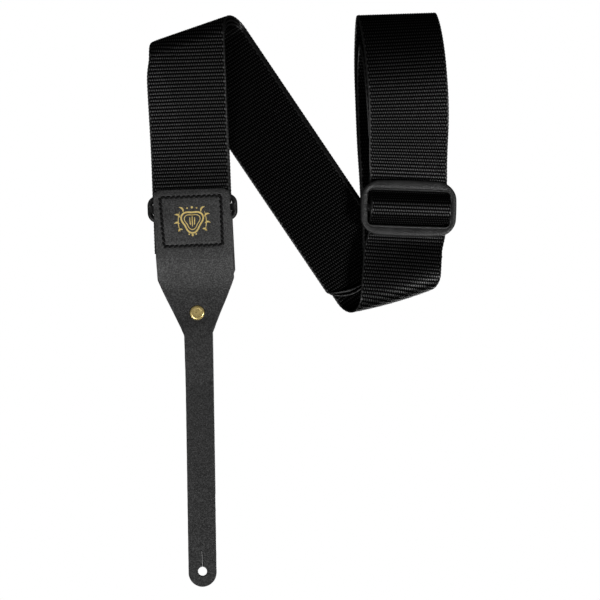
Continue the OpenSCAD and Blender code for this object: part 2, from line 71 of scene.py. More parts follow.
def catmull(tab, n):
    T = np.array(tab, float)
    P = np.vstack([2 * T[0] - T[1], T, 2 * T[-1] - T[-2]])
    out = []
    for i in range(len(T) - 1):
        a, b, c, d = P[i], P[i + 1], P[i + 2], P[i + 3]
        for k in range(n):
            u = k / n
            out.append(0.5 * (2 * b + (c - a) * u + (2 * a - 5 * b + 4 * c - d) * u * u + (3 * b - a - 3 * c + d) * u ** 3))
    out.append(T[-1])
    return np.array(out)


# ------------------------------------------------------------------ the folded band, as in the CAD source
def fold(phi, side, c, r0, a0, k, length, slip, low, top):
    f = dir2(phi)
    return dict(f=f, g=np.array([-f[1], f[0]]) * side, c=c, r0=r0, a0=a0, k=k, L=length, e=slip, low=low, top=top)


TLA, BRA = (-37.2, 15.8), (29.0, 82.9)


def tl(sil, r1, r2, length, slip, low):
    return fold(18, 1, sil - (r1 + r2) / 2 - 0.8, r1, TLA[0], (r2 - r1) / (TLA[1] - TLA[0]), length, slip, low, 1)


def br(phi, sil, r1, r2, length, slip, low):
    return fold(phi, -1, sil - (r1 + r2) / 2 - 0.8, r1, BRA[0], (r2 - r1) / (BRA[1] - BRA[0]), length, slip, low, -1)


F_OUT = [tl(184.9, 8.0, 10.5, 28, 6.6, 0.85), br(15.0, 15.8, 8.6, 7.2, 23, 7.4, 0.85)]
F_MID = [tl(182.6, 6.15, 8.65, 25, 6.6, 2.7), br(17.5, 6.4, 4.9, 4.1, 14, 19.4, 2.7)]
F_INN = [tl(180.3, 4.3, 6.8, 22, 6.6, 4.55), br(17.5, 3.8, 3.0, 2.2, 9, 22.0, 4.55)]


LEAN = 5.9
HW = 25.0


def lift(t, y, bulge):
    """Rise of the right column's left part, where it rests on the diagonal run."""
    v = (t + HW) / BAND_W
    u = 1 - np.clip((HW - t) / BAND_W, 0, 2) ** 1.8
    return LEAN * (v + (u - v) * bulge * (1 - ease((y - 48) / 10)))


def place(folds, z0, z1, s, t, s1, bulge=0):
    """Flat band coordinates to folded positions."""
    d = dir2(HEAD)
    n = np.array([-d[1], d[0]])
    P = START + s[:, None] * d + t[:, None] * n
    done = np.zeros(len(s), bool)
    out = np.zeros((len(s), 3))
    beta, pz = s.copy(), np.full(len(s), float(z0))
    for i, F in enumerate(folds):
        b, a = P @ F["g"] - F["c"], P @ F["f"]
        r = np.maximum(F["r0"] + F["k"] * (a - F["a0"]), 1.2)
        if folds is F_OUT and i == 1:
            r = r + 1.3 * np.sin(math.pi * np.clip((a - BRA[0]) / (BRA[1] - BRA[0]), 0, 1)) ** 0.8
        if folds is F_OUT and i == 0:
            r = r + 1.7 * (1 - np.clip((a - TLA[0]) / (TLA[1] - TLA[0]), 0, 1))
        zin = F["low"] + (2 * r if F["top"] > 0 else 0)
        zout = F["low"] + (0 if F["top"] > 0 else 2 * r)
        # the edge that leads into the upper left fold draws in a little
        draw = np.zeros(len(s))
        if i == 0:
            draw = 2.0 * ease((t + 5) / 30) * np.exp(-((b - 1) / 8.0) ** 2)
        m = ~done & (b < 0)
        w = ease(beta / np.maximum(beta - b, 1e-6))
        out[m, :2] = (P + draw[:, None] * F["f"])[m]
        out[m, 2] = (pz + (zin - pz) * w)[m]
        done |= m
        th = math.pi * np.clip(b / F["L"], 0, 1)
        A = P - b[:, None] * F["g"]
        m = ~done & (b < F["L"])
        Q = A + (F["e"] * ease(th / math.pi) + draw)[:, None] * F["f"] + (r * np.sin(th))[:, None] * F["g"]
        out[m, :2] = Q[m]
        out[m, 2] = (F["low"] + r * (1 + F["top"] * np.cos(th)))[m]
        done |= m
        P = A - (b - F["L"])[:, None] * F["g"] + F["e"] * F["f"]
        beta, pz = b - F["L"], zout
    m = ~done
    w = ease(beta / np.maximum(beta + (s1 - s), 1e-3))
    out[m, :2] = P[m]
    out[m, 2] = (pz + (z1 + lift(t, P[:, 1], bulge) - pz) * w)[m]
    return out


def reach(folds, y):
    """Length along the band at which its middle line reaches y in the right column."""
    O, d = START.copy(), dir2(HEAD)
    for F in folds:
        b, db = O @ F["g"] - F["c"], d @ F["g"]
        O = O - b * F["g"] - (b - F["L"]) * F["g"] + F["e"] * F["f"]
        d = d - 2 * db * F["g"]
    return (y - O[1]) / d[1]


OUTER = [[63.9, 56, 0.95, 1, 5.9], [62.8, 78, 0.95, 4, 5.9], [61.4, 100, 1.0, 3, 5.4], [60.4, 125, 1.1, 2, 3.6], [59.7, 148, 1.8, 1.5, 1.8], [59.8, 165, 3.8, 1.5, 0.7],
         [60.2, 176, 8.2, 1.5, 0.2], [60.7, 180.2, 15, 1.8, 0], [61.6, 177, 21.6, 2.2, 0], [63.2, 168, 27.6, 3, 0], [65.0, 154, 31.6, 3.5, 0], [66.4, 139, 32.4, 3, 0.3],
         [67.6, 124, 29.8, 2, 1.0], [68.2, 110, 24.2, 0.6, 2.4], [68.3, 97, 17.2, -0.6, 4.0], [68.5, 86, 11.4, -1.5, 5.3], [68.6, 74.6, 8.45, -1.5, 5.9]]
INNER = [[64.7, 56, 2.75, 1, 5.9], [63.6, 78, 2.75, 3, 5.9], [62.5, 100, 2.8, 3, 5.4], [61.6, 122, 3.4, 2.5, 3.8], [61.2, 142, 5.4, 2, 2.2], [61.6, 155, 9.0, 2, 1.2],
         [62.2, 162, 14.0, 2, 0.6], [63.3, 158, 19.6, 2.5, 0.3], [64.8, 147, 22.2, 2.5, 0.3], [66.2, 131, 21.0, 2, 1.2], [67.4, 115, 15.6, 0.6, 3.0], [68.2, 103, 9.6, -0.8, 4.6],
         [68.9, 92.2, 6.7, -1.5, 5.9]]
Z_TAB, Z_LOOP = 12.1, 4.6
BIGHT = 2.25 + 0.25 + BAND_T / 2
S_BAR = -10.8
S_SPLIT = reach(F_OUT, 15.5)
S_END_A, S_END_B, S_END_C = reach(F_OUT, 44.6), reach(F_INN, 56), reach(F_MID, 56)

# ------------------------------------------------------------------ band meshes with a real weave
PITCH, COL = 2.15, 0.735         # rib pitch along the band, warp yarn spacing across it, mm
PER_RIB = 4
DS = PITCH / PER_RIB
VT = 1.06                        # body thickness at the bottom of the ribs
T_EDGE = [25.0, 24.9, 24.62, 24.25]
T_POS = np.array([-e for e in T_EDGE] + [COL * (k - 32) for k in range(65)] + T_EDGE[::-1])


def mesh_object(name, co, faces, mats, smooth=True, uv=None, mat_index=None):
    me = bpy.data.meshes.new(name)
    faces = np.asarray(faces, np.int32)
    k = faces.shape[1]
    me.vertices.add(len(co))
    me.vertices.foreach_set("co", (np.asarray(co) * MM).astype(np.float32).ravel())
    me.loops.add(faces.size)
    me.loops.foreach_set("vertex_index", faces.ravel())
    me.polygons.add(len(faces))
    me.polygons.foreach_set("loop_start", np.arange(0, faces.size, k, dtype=np.int32))
    me.polygons.foreach_set("loop_total", np.full(len(faces), k, np.int32))
    me.polygons.foreach_set("use_smooth", np.full(len(faces), smooth, bool))
    if mat_index is not None:
        me.polygons.foreach_set("material_index", np.asarray(mat_index, np.int32))
    if uv is not None:
        layer = me.uv_layers.new(name="UVMap")
        layer.data.foreach_set("uv", np.asarray(uv, np.float32)[faces.ravel()].ravel())
    for m in mats:
        me.materials.append(m)
    me.update()
    me.validate()
    o = bpy.data.objects.new(name, me)
    bpy.context.scene.collection.objects.link(o)
    return o


def ring_of(G):
    """Closed rings of points round every row of the band, ribs and yarn crowns included."""
    n, m = G.shape[:2]
    across = np.gradient(G, axis=1)
    N = unit(np.cross(np.gradient(G, axis=0), across))
    row = np.arange(n)[:, None]
    t = T_POS[None, :]
    # the selvedge is scalloped where the weft turns back, once a rib
    G = G + unit(across) * (np.sign(t) * 0.09 * np.cos(2 * math.pi * row / PER_RIB) * (np.abs(t) > 24))[..., None]
    k = np.floor(row / PER_RIB + 0.5)
    u = row / PER_RIB - k
    flank = np.clip(25.0 - np.abs(t), 0, 0.8) / 0.8
    shape = np.sqrt(1 - (1 - flank) ** 2)
    sides = []
    for side in (0, 1):
        crown = np.cos(math.pi * (np.round(t / COL) + k + side))
        rib = np.cos(math.pi * u)
        h = 0.60 * (0.5 + 0.5 * rib) ** 1.35 * (0.5 + 0.5 * (0.5 + 0.5 * crown)) - 0.23 + 0.025 * np.sin(row * 1.7 + t * 2.9)
        h = np.where(np.abs(t) > 24.2, 0.14 + 0.05 * rib, h)
        h = VT / 2 * shape + h * np.minimum(1, shape * 1.15)
        h[:, [0, -1]] = 0.12
        sides.append(h)
    ring = np.concatenate([G + N * sides[0][..., None], (G - N * sides[1][..., None])[:, ::-1]], 1)
    return ring, np.concatenate([sides[0], sides[1][:, ::-1]], 1)


def ring_normals(R):
    ds = np.gradient(R, axis=0)
    dr = np.roll(R, -1, 1) - np.roll(R, 1, 1)
    return unit(np.cross(ds, dr))


def band_piece(name, R, NR, i0, i1, mat, cap0=False, cap1=False):
    """Rows i0 to i1 of the band's rings as one mesh; neighbours share their end row."""
    P, NV = R[i0:i1 + 1], NR[i0:i1 + 1]
    n, k = P.shape[:2]
    m = k // 2
    a = np.arange(n - 1)[:, None] * k + np.arange(k)[None, :]
    b = np.arange(n - 1)[:, None] * k + (np.arange(k)[None, :] + 1) % k
    faces = np.stack([a, a + k, b + k, b], -1).reshape(-1, 4)
    co, nv = P.reshape(-1, 3), NV.reshape(-1, 3)
    u = np.repeat(np.arange(i0, i1 + 1) * DS, k)
    v = np.tile(np.concatenate([T_POS, T_POS[::-1]]), n)
    extra, base = [], n * k
    for flag, row in ((cap0, 0), (cap1, n - 1)):
        if not flag:
            continue
        co = np.concatenate([co, P[row]])
        out = unit(P[0] - P[1]) if row == 0 else unit(P[-1] - P[-2])
        nv = np.concatenate([nv, out])
        u = np.concatenate([u, np.full(k, u[row * k])])
        v = np.concatenate([v, np.concatenate([T_POS, T_POS[::-1]])])
        for j in range(m - 1):
            q = [base + j, base + j + 1, base + k - 2 - j, base + k - 1 - j]
            extra.append(q[::-1] if row else q)
        base += k
    if extra:
        faces = np.concatenate([faces, np.array(extra)])
    ob = mesh_object(name, co + SHIFT, faces, [mat], uv=np.stack([u, v], -1) * 0.01)
    ob.data.normals_split_custom_set_from_vertices(nv.astype(np.float32).tolist())
    # painted shade: the weave's valleys are darkened and its crowns left bright, from the height of each point
    hgt = np.concatenate([HEIGHT[i0:i1 + 1].ravel(), np.full(len(co) - n * k, 0.4)])
    painted_shade = np.clip((hgt - (VT / 2 - 0.12)) / 0.46, 0, 1)
    # painted shade: the inner length is darker and duller, and so is the reverse face
    back = np.tile(np.repeat([0.0, 1.0], m), n)
    i = np.repeat(np.arange(i0, i1 + 1), k)
    inside = ease((i - cuts["upper"]) / 200) * ease((cuts["run_b"] - i) / 200)
    painted_shade = painted_shade * np.concatenate([(1 - 0.2 * back) * (1 - 0.3 * inside), np.ones(len(co) - n * k)])
    # the plain-woven selvedge has no valleys
    painted_shade[:n * k][np.tile(np.abs(np.concatenate([T_POS, T_POS[::-1]])) > 24.2, n)] = 0.7
    att = ob.data.attributes.new("painted_weave_shade", "FLOAT", "POINT")
    att.data.foreach_set("value", painted_shade.astype(np.float32))
    return ob


def chain_rows(folds, s, z0, z1, s1, squeeze=False, bulge=0):
    s = np.asarray(s)
    k = (1 - 0.022 * (1 - ease(s / 70.0))) if squeeze else np.ones(len(s))
    S = np.repeat(s, len(T_POS))
    Tt = (k[:, None] * T_POS[None, :]).ravel()
    return place(folds, z0, z1, S, Tt, s1, bulge).reshape(len(s), len(T_POS), 3)


def loft_rows(C):
    a = np.radians(C[:, 3])
    X = C[:, None, 0] - T_POS[None, :] * np.cos(a)[:, None]
    Y = C[:, None, 1] - T_POS[None, :] * np.sin(a)[:, None]
    Z = C[:, None, 2] + C[:, None, 4] * (T_POS[None, :] + HW) / BAND_W
    return np.stack([X, Y, Z], -1)


def even(C, step):
    """Rows of C respaced evenly along its line; keeps both ends."""
    L = np.concatenate([[0], np.cumsum(np.linalg.norm(np.diff(C[:, :3], axis=0), axis=1))])
    n = max(2, int(round(L[-1] / step)) + 1)
    u = np.linspace(0, L[-1], n)
    return np.stack([np.interp(u, L, C[:, i]) for i in range(C.shape[1])], 1), u


def steps(a, b):
    return np.linspace(a, b, max(2, int(round((b - a) / DS)) + 1))


# ------------------------------------------------------------------ materials
def new_mat(name):
    m = bpy.data.materials.new(name)
    m.use_nodes = True
    nt = m.node_tree
    nt.nodes.clear()
    out = nt.nodes.new("ShaderNodeOutputMaterial")
    p = nt.nodes.new("ShaderNodeBsdfPrincipled")
    nt.links.new(p.outputs[0], out.inputs[0])
    return m, nt, p


def node(nt, kind, **kw):
    n = nt.nodes.new(kind)
    for k, v in kw.items():
        if k in n.inputs:
            n.inputs[k].default_value = v
        else:
            setattr(n, k, v)
    return n


def ramp(nt, fac, stops):
    r = nt.nodes.new("ShaderNodeValToRGB")
    e = r.color_ramp.elements
    e[0].position, e[0].color = stops[0][0], (*stops[0][1], 1)
    e[1].position, e[1].color = stops[-1][0], (*stops[-1][1], 1)
    for pos, col in stops[1:-1]:
        x = e.new(pos)
        x.color = (*col, 1)
    nt.links.new(fac, r.inputs[0])
    return r


def bump(nt, height, strength, distance, normal=None):
    b = nt.nodes.new("ShaderNodeBump")
    b.inputs["Strength"].default_value = strength
    b.inputs["Distance"].default_value = distance
    nt.links.new(height, b.inputs["Height"])
    if normal is not None:
        nt.links.new(normal, b.inputs["Normal"])
    return b


def grey(v, tint=(1, 1, 1)):
    return tuple(v * c for c in tint)


def webbing_mat():
    m, nt, p = new_mat("webbing_weave")
    uv = node(nt, "ShaderNodeUVMap")
    mp = nt.nodes.new("ShaderNodeMapping")
    mp.inputs["Scale"].default_value = (1.0, 9.0, 1.0)
    nt.links.new(uv.outputs[0], mp.inputs[0])
    fibres = node(nt, "ShaderNodeTexNoise", Scale=38.0, Detail=5.0, Roughness=0.65)
    nt.links.new(mp.outputs[0], fibres.inputs["Vector"])
    patch = node(nt, "ShaderNodeTexNoise", Scale=9.0, Detail=3.0)
    nt.links.new(uv.outputs[0], patch.inputs["Vector"])
    mix = node(nt, "ShaderNodeMath", operation="MULTIPLY")
    nt.links.new(fibres.outputs[0], mix.inputs[0])
    nt.links.new(patch.outputs[0], mix.inputs[1])
    r = ramp(nt, mix.outputs[0], [(0.08, grey(0.006)), (0.3, grey(0.011)), (0.5, grey(0.022))])
    # painted shade: the attribute darkens base colour and specular in the weave's valleys, on the reverse face and
    # along the inner length
    high = nt.nodes.new("ShaderNodeAttribute")
    high.attribute_name = "painted_weave_shade"
    lit = node(nt, "ShaderNodeMath", operation="POWER")
    lit.inputs[1].default_value = 3.2
    nt.links.new(high.outputs["Fac"], lit.inputs[0])
    dark = nt.nodes.new("ShaderNodeVectorMath")
    dark.operation = "SCALE"
    nt.links.new(r.outputs[0], dark.inputs[0])
    nt.links.new(lit.outputs[0], dark.inputs["Scale"])
    nt.links.new(dark.outputs[0], p.inputs["Base Color"])
    shine = node(nt, "ShaderNodeMath", operation="MULTIPLY")
    shine.inputs[1].default_value = 0.95
    nt.links.new(lit.outputs[0], shine.inputs[0])
    nt.links.new(shine.outputs[0], p.inputs["Specular IOR Level"])
    rr = ramp(nt, fibres.outputs[0], [(0.3, grey(0.34)), (0.7, grey(0.5))])
    nt.links.new(rr.outputs[0], p.inputs["Roughness"])
    b = bump(nt, fibres.outputs[0], 0.3, 0.0001)
    nt.links.new(b.outputs[0], p.inputs["Normal"])
    return m


def leather_mat():
    m, nt, p = new_mat("leather_grain")
    tc = nt.nodes.new("ShaderNodeTexCoord")
    cells = node(nt, "ShaderNodeTexVoronoi", Scale=1150.0, feature="DISTANCE_TO_EDGE")
    nt.links.new(tc.outputs["Object"], cells.inputs["Vector"])
    fine = node(nt, "ShaderNodeTexNoise", Scale=2600.0, Detail=4.0)
    nt.links.new(tc.outputs["Object"], fine.inputs["Vector"])
    big = node(nt, "ShaderNodeTexNoise", Scale=60.0, Detail=6.0, Roughness=0.6)
    nt.links.new(tc.outputs["Object"], big.inputs["Vector"])
    mid_n = node(nt, "ShaderNodeTexNoise", Scale=420.0, Detail=4.0, Roughness=0.6)
    nt.links.new(tc.outputs["Object"], mid_n.inputs["Vector"])
    mix = node(nt, "ShaderNodeMath", operation="ADD")
    nt.links.new(big.outputs[0], mix.inputs[0])
    nt.links.new(mid_n.outputs[0], mix.inputs[1])
    r = ramp(nt, mix.outputs[0], [(0.75, grey(0.011)), (1.0, grey(0.018)), (1.28, grey(0.028, (1, 1.0, 1.01)))])
    speck = node(nt, "ShaderNodeTexNoise", Scale=1150.0, Detail=2.0, Roughness=0.5)
    nt.links.new(tc.outputs["Object"], speck.inputs["Vector"])
    sr = ramp(nt, speck.outputs[0], [(0.38, grey(0.66)), (0.5, grey(0.97)), (0.63, grey(1.42))])
    # base colour and specular scale from 0.55 at the tail to 1.0 towards the head, along y
    xyz = nt.nodes.new("ShaderNodeSeparateXYZ")
    nt.links.new(tc.outputs["Object"], xyz.inputs[0])
    along = node(nt, "ShaderNodeMapRange")
    along.inputs["From Min"].default_value = -0.012
    along.inputs["From Max"].default_value = 0.022
    along.inputs["To Min"].default_value = 0.55
    along.inputs["To Max"].default_value = 1.0
    nt.links.new(xyz.outputs["Y"], along.inputs["Value"])
    mul = nt.nodes.new("ShaderNodeVectorMath")
    mul.operation = "MULTIPLY"
    nt.links.new(r.outputs[0], mul.inputs[0])
    nt.links.new(sr.outputs[0], mul.inputs[1])
    sc = nt.nodes.new("ShaderNodeVectorMath")
    sc.operation = "SCALE"
    nt.links.new(mul.outputs[0], sc.inputs[0])
    nt.links.new(along.outputs[0], sc.inputs["Scale"])
    nt.links.new(sc.outputs[0], p.inputs["Base Color"])
    gl = node(nt, "ShaderNodeMath", operation="MULTIPLY")
    gl.inputs[1].default_value = 0.36
    nt.links.new(along.outputs[0], gl.inputs[0])
    gs = node(nt, "ShaderNodeMath", operation="MULTIPLY")
    nt.links.new(gl.outputs[0], gs.inputs[0])
    nt.links.new(sr.outputs[0], gs.inputs[1])
    nt.links.new(gs.outputs[0], p.inputs["Specular IOR Level"])
    rr = ramp(nt, mid_n.outputs[0], [(0.3, grey(0.46)), (0.7, grey(0.62))])
    nt.links.new(rr.outputs[0], p.inputs["Roughness"])
    b1 = bump(nt, cells.outputs["Distance"], 0.8, 0.0002)
    b2 = bump(nt, fine.outputs[0], 0.5, 0.0001, b1.outputs[0])
    b3 = bump(nt, mid_n.outputs[0], 0.5, 0.0005, b2.outputs[0])
    nt.links.new(b3.outputs[0], p.inputs["Normal"])
    return m


def edge_mat():
    m, nt, p = new_mat("leather_cut_edge")
    tc = nt.nodes.new("ShaderNodeTexCoord")
    n = node(nt, "ShaderNodeTexNoise", Scale=2200.0, Detail=5.0, Roughness=0.7)
    nt.links.new(tc.outputs["Object"], n.inputs["Vector"])
    r = ramp(nt, n.outputs[0], [(0.35, grey(0.006)), (0.65, grey(0.03))])
    nt.links.new(r.outputs[0], p.inputs["Base Color"])
    p.inputs["Roughness"].default_value = 0.85
    b = bump(nt, n.outputs[0], 0.8, 0.0002)
    nt.links.new(b.outputs[0], p.inputs["Normal"])
    return m


def suede_mat():
    m, nt, p = new_mat("leather_flesh_side")
    tc = nt.nodes.new("ShaderNodeTexCoord")
    n = node(nt, "ShaderNodeTexNoise", Scale=900.0, Detail=6.0, Roughness=0.75)
    nt.links.new(tc.outputs["Object"], n.inputs["Vector"])
    r = ramp(nt, n.outputs[0], [(0.3, grey(0.02)), (0.7, grey(0.05))])
    nt.links.new(r.outputs[0], p.inputs["Base Color"])
    p.inputs["Roughness"].default_value = 0.95
    p.inputs["Sheen Weight"].default_value = 0.25
    b = bump(nt, n.outputs[0], 0.9, 0.0003)
    nt.links.new(b.outputs[0], p.inputs["Normal"])
    return m


def plastic_mat():
    m, nt, p = new_mat("moulded_plastic")
    tc = nt.nodes.new("ShaderNodeTexCoord")
    n = node(nt, "ShaderNodeTexNoise", Scale=1000.0, Detail=4.0)
    nt.links.new(tc.outputs["Object"], n.inputs["Vector"])
    w = node(nt, "ShaderNodeTexNoise", Scale=120.0, Detail=4.0)
    nt.links.new(tc.outputs["Object"], w.inputs["Vector"])
    r = ramp(nt, w.outputs[0], [(0.35, grey(0.010)), (0.65, grey(0.018))])
    nt.links.new(r.outputs[0], p.inputs["Base Color"])
    rr = ramp(nt, w.outputs[0], [(0.3, grey(0.34)), (0.7, grey(0.46))])
    nt.links.new(rr.outputs[0], p.inputs["Roughness"])
    b = bump(nt, n.outputs[0], 0.8, 0.0003)
    nt.links.new(b.outputs[0], p.inputs["Normal"])
    p.inputs["Specular IOR Level"].default_value = 0.24
    return m


def brass_mat():
    m, nt, p = new_mat("rivet_brass")
    tc = nt.nodes.new("ShaderNodeTexCoord")
    n = node(nt, "ShaderNodeTexNoise", Scale=700.0, Detail=6.0, Roughness=0.65)
    nt.links.new(tc.outputs["Object"], n.inputs["Vector"])
    r = ramp(nt, n.outputs[0], [(0.3, (0.50, 0.38, 0.14)), (0.7, (0.66, 0.52, 0.22))])
    nt.links.new(r.outputs[0], p.inputs["Base Color"])
    p.inputs["Metallic"].default_value = 0.7
    rr = ramp(nt, n.outputs[0], [(0.3, grey(0.24)), (0.7, grey(0.34))])
    nt.links.new(rr.outputs[0], p.inputs["Roughness"])
    b = bump(nt, n.outputs[0], 0.08, 0.00004)
    nt.links.new(b.outputs[0], p.inputs["Normal"])
    return m


def foil_mat():
    m, nt, p = new_mat("gold_foil")
    tc = nt.nodes.new("ShaderNodeTexCoord")
    n = node(nt, "ShaderNodeTexNoise", Scale=1100.0, Detail=5.0, Roughness=0.7)
    nt.links.new(tc.outputs["Object"], n.inputs["Vector"])
    r = ramp(nt, n.outputs[0], [(0.28, (0.42, 0.28, 0.06)), (0.45, (0.80, 0.60, 0.20)), (0.7, (0.95, 0.80, 0.36))])
    nt.links.new(r.outputs[0], p.inputs["Base Color"])
    p.inputs["Metallic"].default_value = 0.75
    p.inputs["Roughness"].default_value = 0.42
    b = bump(nt, n.outputs[0], 0.5, 0.0001)
    nt.links.new(b.outputs[0], p.inputs["Normal"])
    return m


def thread_mat():
    m, nt, p = new_mat("waxed_thread")
    tc = nt.nodes.new("ShaderNodeTexCoord")
    n = node(nt, "ShaderNodeTexNoise", Scale=3000.0, Detail=3.0)
    nt.links.new(tc.outputs["Object"], n.inputs["Vector"])
    r = ramp(nt, n.outputs[0], [(0.3, grey(0.001)), (0.7, grey(0.003))])
    nt.links.new(r.outputs[0], p.inputs["Base Color"])
    p.inputs["Roughness"].default_value = 0.7
    p.inputs["Specular IOR Level"].default_value = 0.12
    return m


WEB, LEATHER, EDGE, SUEDE = webbing_mat(), leather_mat(), edge_mat(), suede_mat()
PLASTIC, BRASS, FOIL, THREAD = plastic_mat(), brass_mat(), foil_mat(), thread_mat()


def done(o, body, slot_name, *nodes):
    if body is not None:
        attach(o, body)
    if nodes:
        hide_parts(*nodes)
    return o


# ------------------------------------------------------------------ the band, one length from leather end A to the sewn loop
SL, ST, TILT = np.array([68.4, 58.0]), math.radians(-1.5), math.asin(LEAN / BAND_W)
ZB, Z_FACE = 11.5, 8.45


def slider_point(P):
    """Slider frame to the strap's frame, before the shift."""
    P = np.asarray(P, float)
    x = P[..., 0] * math.cos(TILT) + (P[..., 2] - 8) * math.sin(TILT)
    z = 8 + LEAN / 2 + (P[..., 2] - 8) * math.cos(TILT) - P[..., 0] * math.sin(TILT)
    c, s_ = math.cos(ST), math.sin(ST)
    return np.stack([SL[0] + x * c - P[..., 1] * s_, SL[1] + x * s_ + P[..., 1] * c, z], -1)


def slider_rows(P, spread=None):
    """P: rows of [y, z] in the slider frame; spread moves the points across a row."""
    P = np.asarray(P, float)
    X = np.repeat(-T_POS[None, :], len(P), 0)
    if spread is not None:
        X = X + spread(P[:, 0])[:, None] * ease((X + 20) / 45)
    return slider_point(np.stack([X, np.repeat(P[:, :1], len(T_POS), 1), np.repeat(P[:, 1:2], len(T_POS), 1)], -1))


def arc(c, r, a0, a1, n):
    return [[c[0] + r * math.cos(math.radians(a0 + (a1 - a0) * i / n)), c[1] + r * math.sin(math.radians(a0 + (a1 - a0) * i / n))] for i in range(n + 1)]


def on_run(sv, z):
    P = START + sv * dir2(HEAD) + T_POS[:, None] * np.array([-dir2(HEAD)[1], dir2(HEAD)[0]])
    return np.concatenate([P, np.full((len(T_POS), 1), z)], 1)


def tidy(rows, n_ramp=26, head=None, tail=None):
    """Draws the first or last rows into the slider's plane."""
    rows = rows.copy()
    n = len(rows)
    for i in range(n):
        if tail is not None and n - 1 - i < n_ramp:
            w = float(ease(1 - (n - 1 - i) / n_ramp))
            rows[i] = rows[i] * (1 - w) + tail(n - 1 - i) * w
        if head is not None and i < n_ramp:
            w = float(ease(1 - i / n_ramp))
            rows[i] = rows[i] * (1 - w) + head(i) * w
    return rows


LO, LI = catmull(OUTER, 24), catmull(INNER, 24)
split_o, split_i = 24 * 13, 24 * 10
seg = []
cuts = {}
count = 0


def add(rows, name=None):
    """Appends rows, leaving out a first row that repeats the last one; notes the index of its last row."""
    global count
    if seg:
        rows = rows[1:]
    seg.append(rows)
    count += len(rows)
    if name:
        cuts[name] = count - 1


s = steps(-46.0, 12.0)
rows = chain_rows(F_OUT, s, Z_TAB, Z_FACE, S_END_A, True)
rows[s < 0, :, 2] = Z_TAB
add(rows, "tab")
add(chain_rows(F_OUT, steps(12.0, S_SPLIT), Z_TAB, Z_FACE, S_END_A, True), "run_a")
s = steps(S_SPLIT, S_END_A)
rows = chain_rows(F_OUT, s, Z_TAB, Z_FACE, S_END_A)
add(tidy(rows, tail=lambda i: slider_rows([[-13.35 - i * DS, Z_FACE]])[0]), "lower")
hump = [[-13.35, Z_FACE], [-11.4, Z_FACE], [-9.9, 8.7], [-8.6, 9.9], [-5.6, 14.0], [-4.3, 15.4], [-2.6, 16.2], [0, 16.4], [2.6, 16.2], [4.3, 15.4], [5.6, 14.0], [8.6, 9.9], [9.9, 8.7],
        [11.4, Z_FACE], [16.5, Z_FACE]]
C, L = even(catmull(hump, 12), DS)
add(slider_rows(C, spread=lambda y: 1.7 * (1 - ease((np.abs(y) - 10.6) / 2.6))), "hump")
Cu, Lu = even(LO[split_o:], DS)
Cu = Cu[::-1]
add(tidy(loft_rows(Cu), head=lambda i: slider_rows([[16.5 + i * DS, Z_FACE]])[0]), "upper")
Co, Lo = even(LO[:split_o + 1][::-1], DS)
add(loft_rows(Co))
add(chain_rows(F_INN, steps(0.0, S_END_B), Z_LOOP - BIGHT, 0.95, reach(F_INN, 35.6), bulge=1)[::-1])
rb = -S_BAR
lead = np.arange(0, rb, DS)
add(np.array([on_run(-x, Z_LOOP - BIGHT) for x in lead]))
n_b = int(round(math.pi * BIGHT / DS))
add(np.array([on_run(S_BAR + BIGHT * math.cos(a), Z_LOOP + BIGHT * math.sin(a)) for a in np.linspace(-math.pi / 2, -1.5 * math.pi, n_b)]))
add(np.array([on_run(-x, Z_LOOP + BIGHT) for x in lead[::-1]]))
add(chain_rows(F_MID, steps(0.0, S_END_C), Z_LOOP + BIGHT, 2.75, reach(F_MID, 35.2), bulge=1))
Ci, Li = even(LI[:split_i + 1], DS)
add(loft_rows(Ci), "run_b")
Cr, Lr = even(LI[split_i:], DS)
add(tidy(loft_rows(Cr), tail=lambda i: slider_rows([[34.2 + i * DS, 6.7]])[0]), "return")
r = 1.8 + 0.25 + BAND_T / 2
sewn = [[34.2, 6.7], [20, 6.7], [10, 6.72], [6.8, 7.4], [4.9, 9.4]] + arc([0.9, ZB], r, 5, 90, 6) + arc([-0.9, ZB], r, -270, -80, 10) + [[5, 6.3], [8, 5.2], [12, 4.95], [22, 4.95], [33, 4.95]]
C, L = even(catmull(sewn, 8), DS)
add(slider_rows(C), "sewn")

GRID = np.concatenate(seg)
RING, HEIGHT = ring_of(GRID)
RNORM = ring_normals(RING)


o = band_piece("band_end_in_leather", RING, RNORM, 0, cuts["tab"], WEB, cap0=True)
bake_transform(o)
done(o, None, "webbing", "webbing_end_tab")
done(band_piece("band_outer_run", RING, RNORM, cuts["tab"], cuts["run_a"], WEB), "strap", "webbing", "webbing_outer_run")
o = band_piece("band_below_slider", RING, RNORM, cuts["run_a"], cuts["lower"], WEB)
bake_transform(o)
done(o, None, "webbing", "webbing_front_lower")
done(band_piece("band_over_centre_bar", RING, RNORM, cuts["lower"], cuts["hump"], WEB), "slider", "webbing", "webbing_over_bar")
o = band_piece("band_above_slider", RING, RNORM, cuts["hump"], cuts["upper"], WEB)
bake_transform(o)
done(o, None, "webbing", "webbing_front_upper")
done(band_piece("band_inner_run", RING, RNORM, cuts["upper"], cuts["run_b"], WEB), "strap", "webbing", "webbing_inner_run")
o = band_piece("band_return_run", RING, RNORM, cuts["run_b"], cuts["return"], WEB)
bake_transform(o)
done(o, None, "webbing", "webbing_return")
done(band_piece("band_sewn_loop", RING, RNORM, cuts["return"], cuts["sewn"], WEB, cap1=True), "slider", "webbing", "webbing_sewn_loop")


